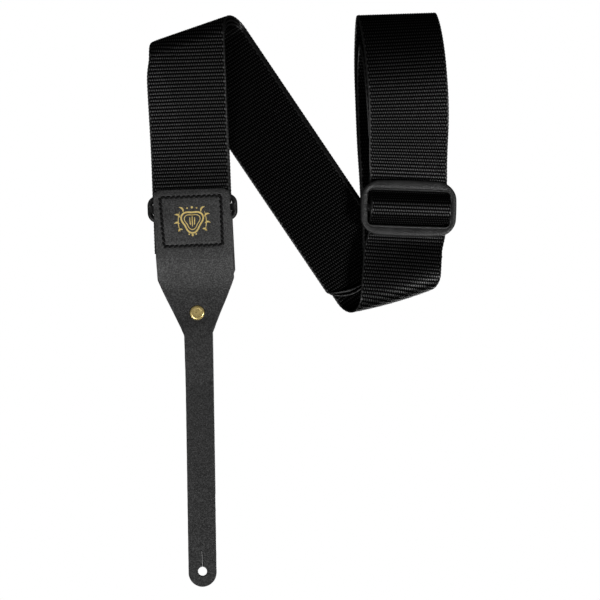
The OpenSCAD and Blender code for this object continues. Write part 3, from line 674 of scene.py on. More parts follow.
# ------------------------------------------------------------------ swept bars
def sweep_ring(outer, inner, zc, thick, power=2.6, n=20, section=None):
    """Closed bar between two matching outlines: rounded section, inner and outer sides met at each station."""
    outer, inner = np.array(outer), np.array(inner)
    if section is None:
        q = np.linspace(0, 2 * math.pi, n, endpoint=False)
        cs, sn = np.cos(q), np.sin(q)
        x = np.sign(cs) * np.abs(cs) ** (2 / power)
        z = np.sign(sn) * np.abs(sn) ** (2 / power)
    else:
        x, z = np.array(section, float).T
        n = len(x)
    c = (outer + inner) / 2
    h = (outer - inner) / 2
    P = np.zeros((len(outer), n, 3))
    P[..., :2] = c[:, None] + h[:, None] * x[None, :, None]
    P[..., 2] = zc + z[None, :] * thick / 2
    k = len(outer)
    a = (np.arange(k)[:, None] * n + np.arange(n)[None, :])
    b = (np.arange(k)[:, None] * n + (np.arange(n)[None, :] + 1) % n)
    c2 = (((np.arange(k) + 1) % k)[:, None] * n + (np.arange(n)[None, :] + 1) % n)
    d = (((np.arange(k) + 1) % k)[:, None] * n + np.arange(n)[None, :])
    return P.reshape(-1, 3), np.stack([a, b, c2, d], -1).reshape(-1, 4)


def to_world(P, origin, angle):
    c, s_ = math.cos(angle), math.sin(angle)
    Q = P.copy()
    Q[:, 0] = origin[0] + P[:, 0] * c - P[:, 1] * s_
    Q[:, 1] = origin[1] + P[:, 0] * s_ + P[:, 1] * c
    return Q + SHIFT


def rounded(w, h, c, bow=0.0, side_bow=0.0, per=16, straight=24):
    """Outline of a rounded rectangle with bowed sides; the same count of points whatever the size."""
    pts = []
    hw, hh = w / 2, h / 2
    corners = [(1, 1, 0), (-1, 1, 90), (-1, -1, 180), (1, -1, 270)]
    for i, (sx, sy, a0) in enumerate(corners):
        cx, cy = sx * (hw - c), sy * (hh - c)
        for j in range(per + 1):
            a = math.radians(a0 + 90 * j / per)
            pts.append([cx + c * math.cos(a), cy + c * math.sin(a)])
        nx, ny, _ = corners[(i + 1) % 4]
        x0, y0 = pts[-1]
        a1 = math.radians(a0 + 90)
        x1, y1 = nx * (hw - c) + c * math.cos(a1), ny * (hh - c) + c * math.sin(a1)
        for j in range(1, straight):
            u = j / straight
            pts.append([x0 + (x1 - x0) * u, y0 + (y1 - y0) * u])
    pts = np.array(pts)
    pts[:, 1] += np.sign(pts[:, 1]) * bow * (1 - (pts[:, 0] / hw) ** 2)
    pts[:, 0] += np.sign(pts[:, 0]) * side_bow * (1 - (pts[:, 1] / hh) ** 2)
    return pts


def capsule_bar(x0, x1, y, z, ry, rz, n=20, rows=24):
    q = np.linspace(0, 2 * math.pi, n, endpoint=False)
    P = []
    for i in range(rows + 1):
        x = x0 + (x1 - x0) * i / rows
        P.append(np.stack([np.full(n, x), y + ry * np.cos(q), z + rz * np.sin(q)], 1))
    P = np.array(P).reshape(-1, 3)
    a = np.arange(rows)[:, None] * n + np.arange(n)[None, :]
    b = np.arange(rows)[:, None] * n + (np.arange(n)[None, :] + 1) % n
    return P, np.stack([a, a + n, b + n, b], -1).reshape(-1, 4)


def merged(parts):
    cos, fs, k = [], [], 0
    for P, F in parts:
        cos.append(P)
        fs.append(F + k)
        k += len(P)
    return np.concatenate(cos), np.concatenate(fs)


# section of the slider's rim, from outside (x = 1) over the face to the inner edge (x = -1)
RIM = [(1.0, -0.35), (1.0, 0.0), (0.985, 0.3), (0.93, 0.58), (0.83, 0.8), (0.66, 0.93), (0.4, 0.99), (0.1, 1.0), (-0.2, 0.97), (-0.45, 0.9), (-0.58, 0.84), (-0.66, 0.84), (-0.74, 0.9), (-0.84, 0.92),
       (-0.93, 0.84), (-0.99, 0.62), (-1.0, 0.3), (-1.0, -0.4), (-0.97, -0.72), (-0.88, -0.92), (-0.7, -1.0), (0.55, -1.0), (0.8, -0.9), (0.95, -0.66)]
P1, F1 = sweep_ring(rounded(60.0, 33.4, 10.2, 1.3, 1.1) * [59.4 / 60.0, 1], rounded(52.6, 21.8, 2.4, 0.12, 0.15), ZB, 3.6, section=RIM)
P2, F2 = capsule_bar(-26.8, 26.8, 0, ZB, 2.6, 1.7)
P, F = merged([(P1, F1), (P2, F2)])
done(mesh_object("slider_moulding", slider_point(P) + SHIFT, F, [PLASTIC]), "slider", "moulded_plastic", "slider_frame")

yc = S_BAR - 6.5
inner = rounded(50.5, 8.6, 0.9, straight=24)
inner[:, 0] -= np.sign(inner[:, 0]) * 1.7 * (np.abs(inner[:, 0]) > 24.5) * ease((2.6 - np.abs(inner[:, 1])) / 0.5)
P1, F1 = sweep_ring(rounded(57.6, 17.4, 6.4) + [0, yc], inner + [0, yc], Z_LOOP, 4.4, power=2.0, n=24)
done(mesh_object("plastic_loop_moulding", to_world(P1, START, math.radians(2)), F1, [PLASTIC]), "loop", "moulded_plastic", "plastic_loop")


# ------------------------------------------------------------------ leather
TOP = -5.6
HEAD_W, HEAD_L, TAPER, TAIL, TIP, HOLE_UP = 48.7, 57.0, 36.0, 17.9, 245.2, 0.9
MID_T = np.array([[-253, -1.8], [-99, 1.15], [-62, 0.93], [-5, 0.0]])


def mid(y):
    return float(np.interp(y, MID_T[:, 0], MID_T[:, 1]))


def half(y, w, l, tp):
    u = (TOP - y - l) / tp
    if u <= 0:
        return w / 2
    if u >= 1:
        return TAIL / 2
    v = min(max((u * 1.0), 0), 1)
    return w / 2 + (TAIL - w) / 2 * (0.85 * v + 0.15 * float(ease(v)))


def leather_outline(w, l, tp, tip, c, step=0.9, y_end=None, top=TOP, corner=True):
    R = []
    if corner:
        R += [p for p in arc([mid(top) + w / 2 - c, top - c], c, 90, 0, 10)]
    else:
        R += [[mid(top) + w / 2, top]]
    y = R[-1][1] - step
    yc_ = (TOP - tip) if y_end is None else y_end
    stop = yc_ if tip is not None or y_end is not None else None
    while y > stop + 0.4:
        R.append([mid(y) + half(y, w, l, tp), y])
        y -= step
    Lf = [[2 * mid(p[1]) - p[0], p[1]] for p in R[::-1]]
    return R, Lf


def resample(poly, step):
    P = np.array(poly + [poly[0]], float)
    L = np.concatenate([[0], np.cumsum(np.linalg.norm(np.diff(P, axis=0), axis=1))])
    n = int(round(L[-1] / step))
    u = np.linspace(0, L[-1], n, endpoint=False)
    return np.stack([np.interp(u, L, P[:, 0]), np.interp(u, L, P[:, 1])], 1)


def shrink(loop, d):
    """Offset a clockwise or counter-clockwise loop inwards by d."""
    a = np.roll(loop, 1, 0)
    b = np.roll(loop, -1, 0)
    tan = unit(b - a)
    nrm = np.stack([-tan[:, 1], tan[:, 0]], 1)
    area = 0.5 * np.sum(loop[:, 0] * np.roll(loop[:, 1], -1) - np.roll(loop[:, 0], -1) * loop[:, 1])
    return loop + nrm * d * (1 if area > 0 else -1)


def inside(poly, pts):
    x, y = pts[:, 0], pts[:, 1]
    c = np.zeros(len(pts), bool)
    j = len(poly) - 1
    for i in range(len(poly)):
        xi, yi = poly[i]
        xj, yj = poly[j]
        m = ((yi > y) != (yj > y)) & (x < (xj - xi) * (y - yi) / (yj - yi + 1e-12) + xi)
        c ^= m
        j = i
    return c


def dist_to(loops, pts):
    best = np.full(len(pts), 1e9)
    for lp in loops:
        for k0 in range(0, len(pts), 4000):
            d = np.linalg.norm(pts[k0:k0 + 4000, None] - lp[None], axis=2).min(1)
            best[k0:k0 + 4000] = np.minimum(best[k0:k0 + 4000], d)
    return best


def hole_with_slit(cx, cy, r, slit, w):
    """Round hole with a narrow slit running up from it, as one outline."""
    a0 = math.degrees(math.asin(w / 2 / r))
    pts = arc([cx, cy], r, 90 + a0, 450 - a0, 36)
    pts += [[cx + w / 2, cy + r + slit * 0.5], [cx + w / 2, cy + r + slit - w], [cx, cy + r + slit], [cx - w / 2, cy + r + slit - w], [cx - w / 2, cy + r + slit * 0.5]]
    return np.array(pts)


def leather_piece(name, outline, holes, top_fn, thick_fn, grid_step, world_fn, extra_lines=(), edge_round=0.45, mats=None, wobble=0.0):
    """A leaf of leather: rounded rim, holes, upper surface top_fn(x, y) and thickness thick_fn(x, y)."""
    loop = resample([list(p) for p in outline], 0.8)
    if wobble:
        ph = np.arange(len(loop))
        loop = shrink(loop, 0.0) + (shrink(loop, 1.0) - loop) * (wobble * (np.sin(ph * 0.9) * 0.4 + np.sin(ph * 0.37 + 1) * 0.6))[:, None]
    rings = [loop] + [shrink(loop, d) for d in (0.1, edge_round * 0.6, edge_round * 1.3, 1.1)]
    hrings = []
    for h in holes:
        hr = [h] + [shrink(h, -d) for d in (0.1, edge_round * 0.5, edge_round * 1.1)]
        hrings.append(hr)
    pts, edges = [], []
    for lp in rings + [x for hr in hrings for x in hr]:
        k0 = len(pts)
        pts += [tuple(p) for p in lp]
        edges += [(k0 + i, k0 + (i + 1) % len(lp)) for i in range(len(lp))]
    lo, hi = loop.min(0), loop.max(0)
    gx = np.arange(lo[0], hi[0], grid_step)
    gy = np.arange(lo[1], hi[1], grid_step * 0.87)
    G = np.array([[x + (grid_step / 2 if j % 2 else 0), y] for j, y in enumerate(gy) for x in gx])
    core = shrink(loop, 1.4)
    G = G[inside(core, G)]
    for hr in hrings:
        G = G[~inside(shrink(hr[0], -(edge_round * 1.1 + 0.35)), G)]
    for line in extra_lines:
        G = G[dist_to([line], G) > 0.45]
    pts += [tuple(p) for p in G]
    for line in extra_lines:
        pts += [tuple(p) for p in line]
    v2, _, f2, *_ = delaunay_2d_cdt([Vector(p) for p in pts], edges, [], 0, 1e-5)
    V = np.array([tuple(p) for p in v2])
    Fc = np.array([f for f in f2 if len(f) == 3])
    cen = V[Fc].mean(1)
    ok = inside(loop, cen)
    for hr in hrings:
        ok &= ~inside(hr[0], cen)
    Fc = Fc[ok]
    a = V[Fc[:, 0]]
    b = V[Fc[:, 1]]
    c = V[Fc[:, 2]]
    ar = (b[:, 0] - a[:, 0]) * (c[:, 1] - a[:, 1]) - (b[:, 1] - a[:, 1]) * (c[:, 0] - a[:, 0])
    Fc = Fc[np.abs(ar) > 1e-7]
    ar = ar[np.abs(ar) > 1e-7]
    Fc[ar < 0] = Fc[ar < 0][:, ::-1]
    used = np.unique(Fc)
    remap = -np.ones(len(V), int)
    remap[used] = np.arange(len(used))
    V, Fc = V[used], remap[Fc]
    e = np.sort(np.concatenate([Fc[:, [0, 1]], Fc[:, [1, 2]], Fc[:, [2, 0]]]), 1)
    ue, cnt = np.unique(e, axis=0, return_counts=True)
    border_e = set(map(tuple, ue[cnt == 1]))
    d = dist_to([loop] + [hr[0] for hr in hrings], V)
    drop = edge_round * (1 - np.sqrt(np.clip(1 - (1 - np.clip(d / (edge_round * 1.3), 0, 1)) ** 2, 0, 1)))
    zt = top_fn(V[:, 0], V[:, 1])
    th = thick_fn(V[:, 0], V[:, 1])
    top3 = np.column_stack([V, zt - drop])
    bot3 = np.column_stack([V, zt - th + drop * 0.6])
    n = len(V)
    co = np.concatenate([top3, bot3])
    faces = [Fc, Fc[:, ::-1] + n]
    side = []
    for tri in Fc:
        for i in range(3):
            p, q = tri[i], tri[(i + 1) % 3]
            if (min(p, q), max(p, q)) in border_e:
                side.append([p, p + n, q + n])
                side.append([p, q + n, q])
    faces = np.concatenate(faces + [np.array(side)])
    # split the cut edge from the faces above and below, so that it shades as an edge
    mi = np.concatenate([np.zeros(len(Fc), int), np.full(len(Fc), 2), np.full(len(side), 1)])
    ob = mesh_object(name, world_fn(co), faces, mats or [LEATHER, EDGE, SUEDE], mat_index=mi)
    return ob


def smooth_interp(tab):
    T = np.array(sorted(tab), float)

    def f(y):
        y = np.asarray(y, float)
        acc = np.zeros_like(y)
        for w, k in ((-5, 0.06), (-3.5, 0.11), (-2, 0.17), (0, 0.32), (2, 0.17), (3.5, 0.11), (5, 0.06)):
            acc += k * np.interp(y + w, T[:, 0], T[:, 1])
        return acc
    return f


A_UNDER = smooth_interp([[10, 13.0], [-48, 13.0], [-53, 12.4], [-62, 9.2], [-68, 8.25], [-96, 8.25], [-104, 7.3], [-122, 3.6], [-132, 2.45], [-270, 2.45]])
B_UNDER = smooth_interp([[10, 9.4], [-47, 9.4], [-53, 8.9], [-62, 6.9], [-67, 6.4], [-97.5, 6.4]])
SLOT_X, SLOT_Y0, SLOT_Y1 = mid(TOP - TIP), TOP - TIP + HOLE_UP + 2.6, TOP - TIP + HOLE_UP + 2.9 + 9.9
BOX_A = [(-0.4 - 19.3, -10.6), (-0.4 + 19.3, -10.6), (-0.4 + 19.3, -41.6), (-0.4 - 19.3 + 1.6, -41.6)]


def box_points(B, step):
    out = []
    for i in range(4):
        a, b = np.array(B[i]), np.array(B[(i + 1) % 4])
        n = max(1, int(np.linalg.norm(b - a) / step))
        out += [a + (b - a) * j / n for j in range(n)]
    return np.array(out)


def seg_dist(B, x, y):
    best = np.full(np.shape(x), 1e9)
    for i in range(4):
        a, b = np.array(B[i]), np.array(B[(i + 1) % 4])
        ab = b - a
        t_ = np.clip(((x - a[0]) * ab[0] + (y - a[1]) * ab[1]) / (ab @ ab), 0, 1)
        best = np.minimum(best, np.hypot(x - a[0] - ab[0] * t_, y - a[1] - ab[1] * t_))
    return best


def a_top(x, y):
    z = A_UNDER(y) + 2.0
    dx = x - np.interp(y, MID_T[:, 0], MID_T[:, 1])
    headz = ease((y + 75) / 18)
    z = z - headz * (0.9 * ease((-dx - 19.8) / 5.0) + 0.55 * ease((dx - 20.3) / 4.6))
    z = z - 0.7 * ease((y + 9.6) / 4.2)
    z = z + 0.18 * headz * np.sin(x * 0.16 + 0.6) * np.cos(y * 0.13)
    groove = seg_dist(BOX_A, x, y)
    z = z - 0.34 * np.exp(-(groove / 1.0) ** 2)
    # tail: a little cupping and a soft wave along its length
    tailz = ease((-y - 96) / 20)
    z = z + tailz * (0.22 * np.cos(dx / 9 * 1.4) + 0.15 * np.sin(y * 0.05)) - 0.1 * tailz
    # the slit's lips fold down into a narrow groove
    w = 1.3 * ease((SLOT_Y1 + 1.6 - y) / 1.6)
    z = z - np.where((y > SLOT_Y0 - 1.5) & (y < SLOT_Y1 + 1.7), 0.7 * np.exp(-((x - SLOT_X) / np.maximum(w, 0.05)) ** 2 * 1.4) * (w > 0.06), 0)
    # dimple under the rivet
    z = z - 0.3 * np.exp(-((x - mid(-84.2)) ** 2 + (y + 84.2) ** 2) / 38)
    return z


def world_end(P):
    return to_world(np.asarray(P, float), START, math.radians(2))


R, Lf = leather_outline(HEAD_W, HEAD_L, TAPER, TIP, 5.0)
tip_c = [mid(TOP - TIP), TOP - TIP]
outline_a = R + arc(tip_c, TAIL / 2, -3, -177, 26) + Lf
hole_a = hole_with_slit(tip_c[0], tip_c[1] + HOLE_UP, 2.9, 9.9, 0.16)
o = leather_piece("leather_end_a", outline_a, [hole_a], a_top, lambda x, y: np.full(np.shape(x), 2.0), 1.15, world_end,
                  extra_lines=[np.array([[SLOT_X + dx, y_] for dx in (-1.5, -1.1, -0.75, -0.45, 0.45, 0.75, 1.1, 1.5) for y_ in np.arange(SLOT_Y0 + 0.6, SLOT_Y1 + 2.0, 0.5)]), box_points(BOX_A, 0.4), box_points([(BOX_A[0][0] + 0.75, BOX_A[0][1] - 0.75), (BOX_A[1][0] - 0.75, BOX_A[1][1] - 0.75), (BOX_A[2][0] - 0.75, BOX_A[2][1] + 0.75), (BOX_A[3][0] + 0.75, BOX_A[3][1] + 0.75)], 0.5), box_points([(BOX_A[0][0] - 0.8, BOX_A[0][1] + 0.8), (BOX_A[1][0] + 0.8, BOX_A[1][1] + 0.8), (BOX_A[2][0] + 0.8, BOX_A[2][1] - 0.8), (BOX_A[3][0] - 0.8, BOX_A[3][1] - 0.8)], 0.9)],
                  wobble=0.035)
done(o, "end_a", "black_leather", "leather_a_front")

R2, L2 = leather_outline(HEAD_W - 1.0, HEAD_L, TAPER, None, 5.0, y_end=-97.8)
outline_ab = R2 + L2
o = leather_piece("leather_backing_a", outline_ab, [], lambda x, y: B_UNDER(y) + 1.8, lambda x, y: np.full(np.shape(x), 1.75), 2.2, world_end, edge_round=0.3, mats=[SUEDE, EDGE, SUEDE], wobble=0.05)
done(o, "end_a", "black_leather", "leather_a_back")

# leather end B: front leaf down to the fold, wrap round the bar, back leaf with the tail
YB = S_BAR - 13.0
RBY = -76.0


def half_b(y):
    u = (TOP - y - 52) / 32
    return 25.0 if u <= 0 else (TAIL / 2 if u >= 1 else 25.0 + (TAIL / 2 - 25.0) * (0.85 * u + 0.15 * float(ease(u))))


def strip_leather(name, line, t, width_fn, mats):
    """Leather that follows a line of [y, z] in the end frame, with width_fn(y)."""
    C, L = even(catmull(line, 8), 0.9)
    tan = unit(np.gradient(C, axis=0))
    nrm = np.stack([-tan[:, 1], tan[:, 0]], 1)
    u = np.array([-1, -0.995, -0.98, -0.9, -0.75, -0.5, -0.25, 0, 0.25, 0.5, 0.75, 0.9, 0.98, 0.995, 1])
    e = np.sqrt(np.clip(1 - np.clip((np.abs(u) - 0.97) / 0.03, 0, 1) ** 2, 0, 1)) * 0.7 + 0.3
    rows_ = []
    for i in range(len(C)):
        w = width_fn(C[i, 0])
        x = mid(C[i, 0]) + u * w
        up = np.stack([x, C[i, 0] + nrm[i, 0] * t / 2 * e, C[i, 1] + nrm[i, 1] * t / 2 * e], 1)
        dn = np.stack([x, C[i, 0] - nrm[i, 0] * t / 2 * e, C[i, 1] - nrm[i, 1] * t / 2 * e], 1)
        rows_.append(np.concatenate([up, dn[::-1]]))
    n, k = len(rows_), len(rows_[0])
    co = np.array(rows_).reshape(-1, 3)
    a = np.arange(n - 1)[:, None] * k + np.arange(k)[None, :]
    b = np.arange(n - 1)[:, None] * k + (np.arange(k)[None, :] + 1) % k
    fs = np.stack([a, b, b + k, a + k], -1).reshape(-1, 4)
    caps = []
    m = len(u)
    for row in (0, n - 1):
        for j in range(m - 1):
            q = [row * k + j, row * k + j + 1, row * k + k - 2 - j, row * k + k - 1 - j]
            caps.append(q if row else q[::-1])
    return co, np.concatenate([fs, np.array(caps)])


rB = 2.25 + 0.15 + 0.9
front_b = [[-85.4, 3.12], [-70, 3.12], [-50, 3.12], [-42, 3.6], [-36, 4.9], [-31, 6.7], [-27.5, 7.6]] + arc([YB, Z_LOOP], rB, 96, -84, 12) + [[-30, 1.2], [-48, 1.0], [-60.2, 1.0]]
coB, fB = strip_leather("b", front_b, 1.8, half_b, None)
Rb, Lb = [], []
yc_b = YB - 176
y = -60.0
while y > yc_b + 0.4:
    Rb.append([mid(y) + half_b(y), y])
    y -= 0.9
Lb = [[2 * mid(p[1]) - p[0], p[1]] for p in Rb[::-1]]
tipb = [mid(yc_b), yc_b]
hole_b = hole_with_slit(tipb[0], tipb[1] + HOLE_UP, 2.9, 9.9, 0.16)
o1 = mesh_object("leather_end_b_wrap", world_end(coB), fB, [LEATHER])
done(o1, "end_b", "black_leather")
o2 = leather_piece("leather_end_b_tail", Rb + arc(tipb, TAIL / 2, -3, -177, 26) + Lb, [hole_b], lambda x, y: np.full(np.shape(x), 1.9), lambda x, y: np.full(np.shape(x), 1.8), 2.0, world_end, mats=[SUEDE, EDGE, LEATHER])
done(o2, "end_b", "black_leather", "leather_b")


# ------------------------------------------------------------------ stitches
def stitch_mesh(a, b, z, rad=0.42, sink=0.7, side=1, frame_fn=None, lean=0.0):
    """One stitch: a twisted thread that rises from its hole, lies along the leather and dives again."""
    a, b = np.array(a, float), np.array(b, float)
    n, q = 15, 12
    u = np.linspace(0, 1, n)
    lift = np.sin(np.clip(u, 0, 1) * math.pi) ** 0.45
    P = np.column_stack([a[0] + (b[0] - a[0]) * u, a[1] + (b[1] - a[1]) * u, z + side * (-sink + (sink + rad * 0.45) * lift)])
    tan = unit(np.gradient(P, axis=0))
    upv = np.array([0, 0, 1.0])
    sd = unit(np.cross(tan, upv))
    nn = np.cross(sd, tan)
    ang = np.linspace(0, 2 * math.pi, q, endpoint=False)
    rows_ = []
    for i in range(n):
        tw = u[i] * 5.0
        rr = rad * (1 + 0.16 * np.cos(3 * (ang + tw)))
        rows_.append(P[i] + rr[:, None] * (np.cos(ang)[:, None] * sd[i] + np.sin(ang)[:, None] * nn[i]))
    co = np.array(rows_).reshape(-1, 3)
    x = np.arange(n - 1)[:, None] * q + np.arange(q)[None, :]
    y_ = np.arange(n - 1)[:, None] * q + (np.arange(q)[None, :] + 1) % q
    return co, np.stack([x, y_, y_ + q, x + q], -1).reshape(-1, 4)


def box_stitches(B, zf, side, lean=0.55, rad=0.72, pitch=3.15):
    parts = []
    for i in range(4):
        a, b = np.array(B[i]), np.array(B[(i + 1) % 4])
        L_ = np.linalg.norm(b - a)
        n = int(round(L_ / pitch))
        u = (b - a) / L_
        v = np.array([-u[1], u[0]])
        for k_ in range(n):
            c0 = a + u * L_ * (k_ + 0.5) / n + v * rng.uniform(-0.06, 0.06)
            h = (L_ / n) * 0.40
            ln = lean + rng.uniform(-0.08, 0.08)
            p, q_ = c0 - u * h - v * ln, c0 + u * h + v * ln
            parts.append(stitch_mesh(p, q_, zf(c0), rad=rad, side=side))
    return merged(parts)


P, F = box_stitches(BOX_A, lambda c: float(a_top(np.array([c[0]]), np.array([c[1]]))[0]), 1)
Pb, Fb = box_stitches(BOX_A, lambda c: 9.4, -1, rad=0.35)
P, F = merged([(P, F), (Pb, Fb)])
done(mesh_object("box_stitches_a", world_end(P), F, [THREAD]), "end_a", "thread", "box_stitching_a")
BOX_B = [(0.6 - 18.5, -47.5), (0.6 + 18.5, -47.5), (0.6 + 18.5, -64.0), (0.6 - 18.5, -64.0)]
P, F = box_stitches(BOX_B, lambda c: 4.05, 1, rad=0.38)
P2, F2 = box_stitches(BOX_B, lambda c: 0.5, -1, rad=0.38)
P, F = merged([(P, F), (P2, F2)])
done(mesh_object("box_stitches_b", world_end(P), F, [THREAD]), "end_b", "thread", "box_stitching_b")
parts = []
for y0 in (22, 30):
    for k_ in range(13):
        x = -20 + 40 * k_ / 12
        parts.append(stitch_mesh([x - 1.2, y0], [x + 1.2, y0], 7.5, rad=0.35))
        parts.append(stitch_mesh([x - 1.2, y0], [x + 1.2, y0], 4.2, rad=0.35, side=-1))
P, F = merged(parts)
done(mesh_object("sewn_loop_stitches", slider_point(P) + SHIFT, F, [THREAD]), "slider", "thread", "loop_stitching")


# ------------------------------------------------------------------ rivets
def lathe(profile, n=64):
    prof = np.array(profile, float)
    q = np.linspace(0, 2 * math.pi, n, endpoint=False)
    co = np.array([[r_ * math.cos(a), r_ * math.sin(a), z] for r_, z in prof for a in q])
    k = len(prof)
    a = np.arange(k - 1)[:, None] * n + np.arange(n)[None, :]
    b = np.arange(k - 1)[:, None] * n + (np.arange(n)[None, :] + 1) % n
    return co, np.stack([a, a + n, b + n, b], -1).reshape(-1, 4)


def cap_profile(z, R_, flat, h):
    out = [[0.001, z + h - 0.12]]
    out += [[flat * i / 6, z + h - 0.12 + 0.04 * (i / 6) ** 2] for i in range(1, 7)]
    out += [[flat + 0.25, z + h - 0.03], [flat + 0.55, z + h]]
    w = R_ - flat - 0.55
    for i in range(1, 13):
        a = math.pi / 2 * i / 12
        out.append([flat + 0.55 + w * math.sin(a), z + h * 0.32 + (h * 0.68) * math.cos(a)])
    out += [[R_, z + h * 0.2], [R_ - 0.12, z + 0.02], [R_ - 0.5, z - 0.12], [1.0, z - 0.12]]
    return out[::-1]


zr = float(a_top(np.array([mid(-84.2)]), np.array([-84.2]))[0])
P, F = lathe(cap_profile(zr + 0.05, 4.65, 2.7, 1.35))
P = P + [mid(-84.2), -84.2, 0]
done(mesh_object("rivet_cap_end_a", world_end(P), F[:, ::-1], [BRASS]), "end_a", "rivet_brass", "rivet_cap_a")
P1, F1 = lathe([[1.5, 10.3], [1.5, 6.2], [3.4, 6.2], [3.6, 6.05], [3.6, 5.75], [3.4, 5.58], [0.001, 5.58]])
P1 = P1 + [mid(-84.2), -84.2, 0]
done(mesh_object("rivet_post_end_a", world_end(P1), F1[:, ::-1], [BRASS]), "end_a", "rivet_brass", "rivet_post_a")
P, F = lathe(cap_profile(4.1, 4.2, 2.4, 1.0))
P = P + [mid(RBY), RBY, 0]
done(mesh_object("rivet_cap_end_b", world_end(P), F[:, ::-1], [BRASS]), "end_b", "rivet_brass", "rivet_cap_b")
P1, F1 = lathe([[1.5, 4.6], [1.5, 0.3], [3.4, 0.3], [3.6, 0.18], [3.6, 0.06], [3.4, -0.02], [0.001, -0.02]])
P1 = P1 + [mid(RBY), RBY, 0]
done(mesh_object("rivet_post_end_b", world_end(P1), F1[:, ::-1], [BRASS]), "end_b", "rivet_brass", "rivet_post_b")


# ------------------------------------------------------------------ gold ornament (generic: plectrum, strings, leaf scrolls)
def stroke(path, w0, w1, closed=False):
    P_ = np.array(path, float)
    tan = unit(np.roll(P_, -1, 0) - np.roll(P_, 1, 0)) if closed else unit(np.gradient(P_, axis=0))
    nrm = np.stack([-tan[:, 1], tan[:, 0]], 1)
    u = np.linspace(0, 1, len(P_))
    w = (w0 + (w1 - w0) * np.sin(u * math.pi)) if not closed else np.full(len(P_), w1)
    return P_ + nrm * w[:, None] / 2, P_ - nrm * w[:, None] / 2


def foil_parts():
    shapes = []

    def add(path, w0, w1, closed=False):
        l_, r_ = stroke(path, w0, w1, closed)
        shapes.append((l_, r_, closed))
    q = np.radians(np.arange(0, 360, 6))
    rad = 6.5 + 1.05 * np.cos(3 * (q + math.pi / 2))
    add(np.stack([rad * np.cos(q), rad * np.sin(q) + 0.3], 1), 1, 1.05, True)
    rad = 4.6 + 0.8 * np.cos(3 * (q + math.pi / 2))
    add(np.stack([rad * np.cos(q), rad * np.sin(q) + 0.3], 1), 1, 0.5, True)
    for x in (-1.5, 0, 1.5):
        add([[x, 3.4 - abs(x) * 0.5], [x, 1], [x * 0.9, -1.4], [x * 0.7, -3.2 + abs(x) * 0.7]], 0.35, 0.7)
    for sx in (-1, 1):
        for k_ in range(4):
            a0 = math.radians(58 - 36 * k_)
            base = np.array([sx * 8.1 * math.cos(a0 * 0.8), 7.2 * math.sin(a0 * 0.9) + 0.2])
            dirn = np.array([sx * math.cos(a0 * 0.75), math.sin(a0 * 0.75) + 0.25])
            curl = np.array([-dirn[1] * sx, dirn[0] * sx])
            pts = [base + dirn * (3.6 * v) + curl * (0.9 * math.sin(v * math.pi)) for v in np.linspace(0, 1, 9)]
            add(pts, 0.15, 1.15)
        add([[sx * (8.2 + 0.2 * v), 6.0 - 12.0 * v + 0.0] for v in np.linspace(0, 1, 12)] if False else
            [[sx * (7.9 + 1.0 * math.sin(v * math.pi)), 6.4 - 12.6 * v] for v in np.linspace(0, 1, 14)], 0.2, 0.55)
    for x, y_ in ((0, 9.0), (-3.0, 8.5), (3.0, 8.5), (0, -8.6), (-2.2, -8.0), (2.2, -8.0)):
        rr = 0.75 if x == 0 else 0.5
        add([[x + rr * 0.5 * math.cos(a), y_ + rr * 0.5 * math.sin(a)] for a in np.radians(np.arange(0, 360, 30))], 1, rr, True)
    return shapes


parts = []
E0 = np.array([0.3, -26.3])
for l_, r_, closed in foil_parts():
    n = len(l_)
    # set each stroke's points on the leather's surface so that the foil follows the leather
    P2 = np.concatenate([l_, r_]) + E0
    z = a_top(P2[:, 0], P2[:, 1])
    top_ = np.column_stack([P2, z + 0.05])
    low_ = np.column_stack([P2, z - 0.1])
    co = np.concatenate([top_, low_])
    m_ = 2 * n
    fs = []
    for i in range(n if closed else n - 1):
        j = (i + 1) % n
        fs.append([i, n + i, n + j, j])
        fs.append([i, j, m_ + j, m_ + i])
        fs.append([n + i, m_ + n + i, m_ + n + j, n + j])
    parts.append((co, np.array(fs)))
P, F = merged(parts)
done(mesh_object("gold_foil_ornament", world_end(P), F, [FOIL], smooth=False), "end_a", "gold_foil", "gold_emblem")

# ------------------------------------------------------------------ loose fibres on the cut edge of leather end A
parts = []


def fibre(x, y, z, dx, dy, dz, rad=0.045):
    n, q = 6, 4
    u = np.linspace(0, 1, n)
    bend = rng.uniform(-0.5, 0.5)
    P_ = np.column_stack([x + dx * u + bend * dy * u * u, y + dy * u - bend * dx * u * u, z + dz * np.sin(u * 2.2)])
    ang = np.linspace(0, 2 * math.pi, q, endpoint=False)
    rr = rad * (1 - 0.7 * u)
    co = np.array([P_[i] + rr[i] * np.array([np.cos(ang), np.sin(ang) * 0.7, np.sin(ang)]).T for i in range(n)]).reshape(-1, 3)
    a = np.arange(n - 1)[:, None] * q + np.arange(q)[None, :]
    b = np.arange(n - 1)[:, None] * q + (np.arange(q)[None, :] + 1) % q
    return co, np.stack([a, b, b + q, a + q], -1).reshape(-1, 4)


for y0, count, spread in ((-93.5, 16, 2.4), (-158, 8, 5), (-183, 12, 6), (-197, 8, 4), (-130, 8, 20), (-225, 8, 16), (-60, 5, 18)):
    for _ in range(count):
        y = y0 + rng.uniform(-spread, spread)
        x = mid(y) + half(y, HEAD_W, HEAD_L, TAPER) - 0.12
        z = float(A_UNDER(np.array([y]))[0]) + rng.uniform(0.2, 1.5)
        ln = rng.uniform(0.3, 1.1)
        an = rng.uniform(-1.1, 1.1)
        parts.append(fibre(x, y, z, ln * math.cos(an), ln * math.sin(an), rng.uniform(-0.2, 0.2)))
P, F = merged(parts)
done(mesh_object("leather_edge_fibres", world_end(P), F, [EDGE]), "end_a", "black_leather")

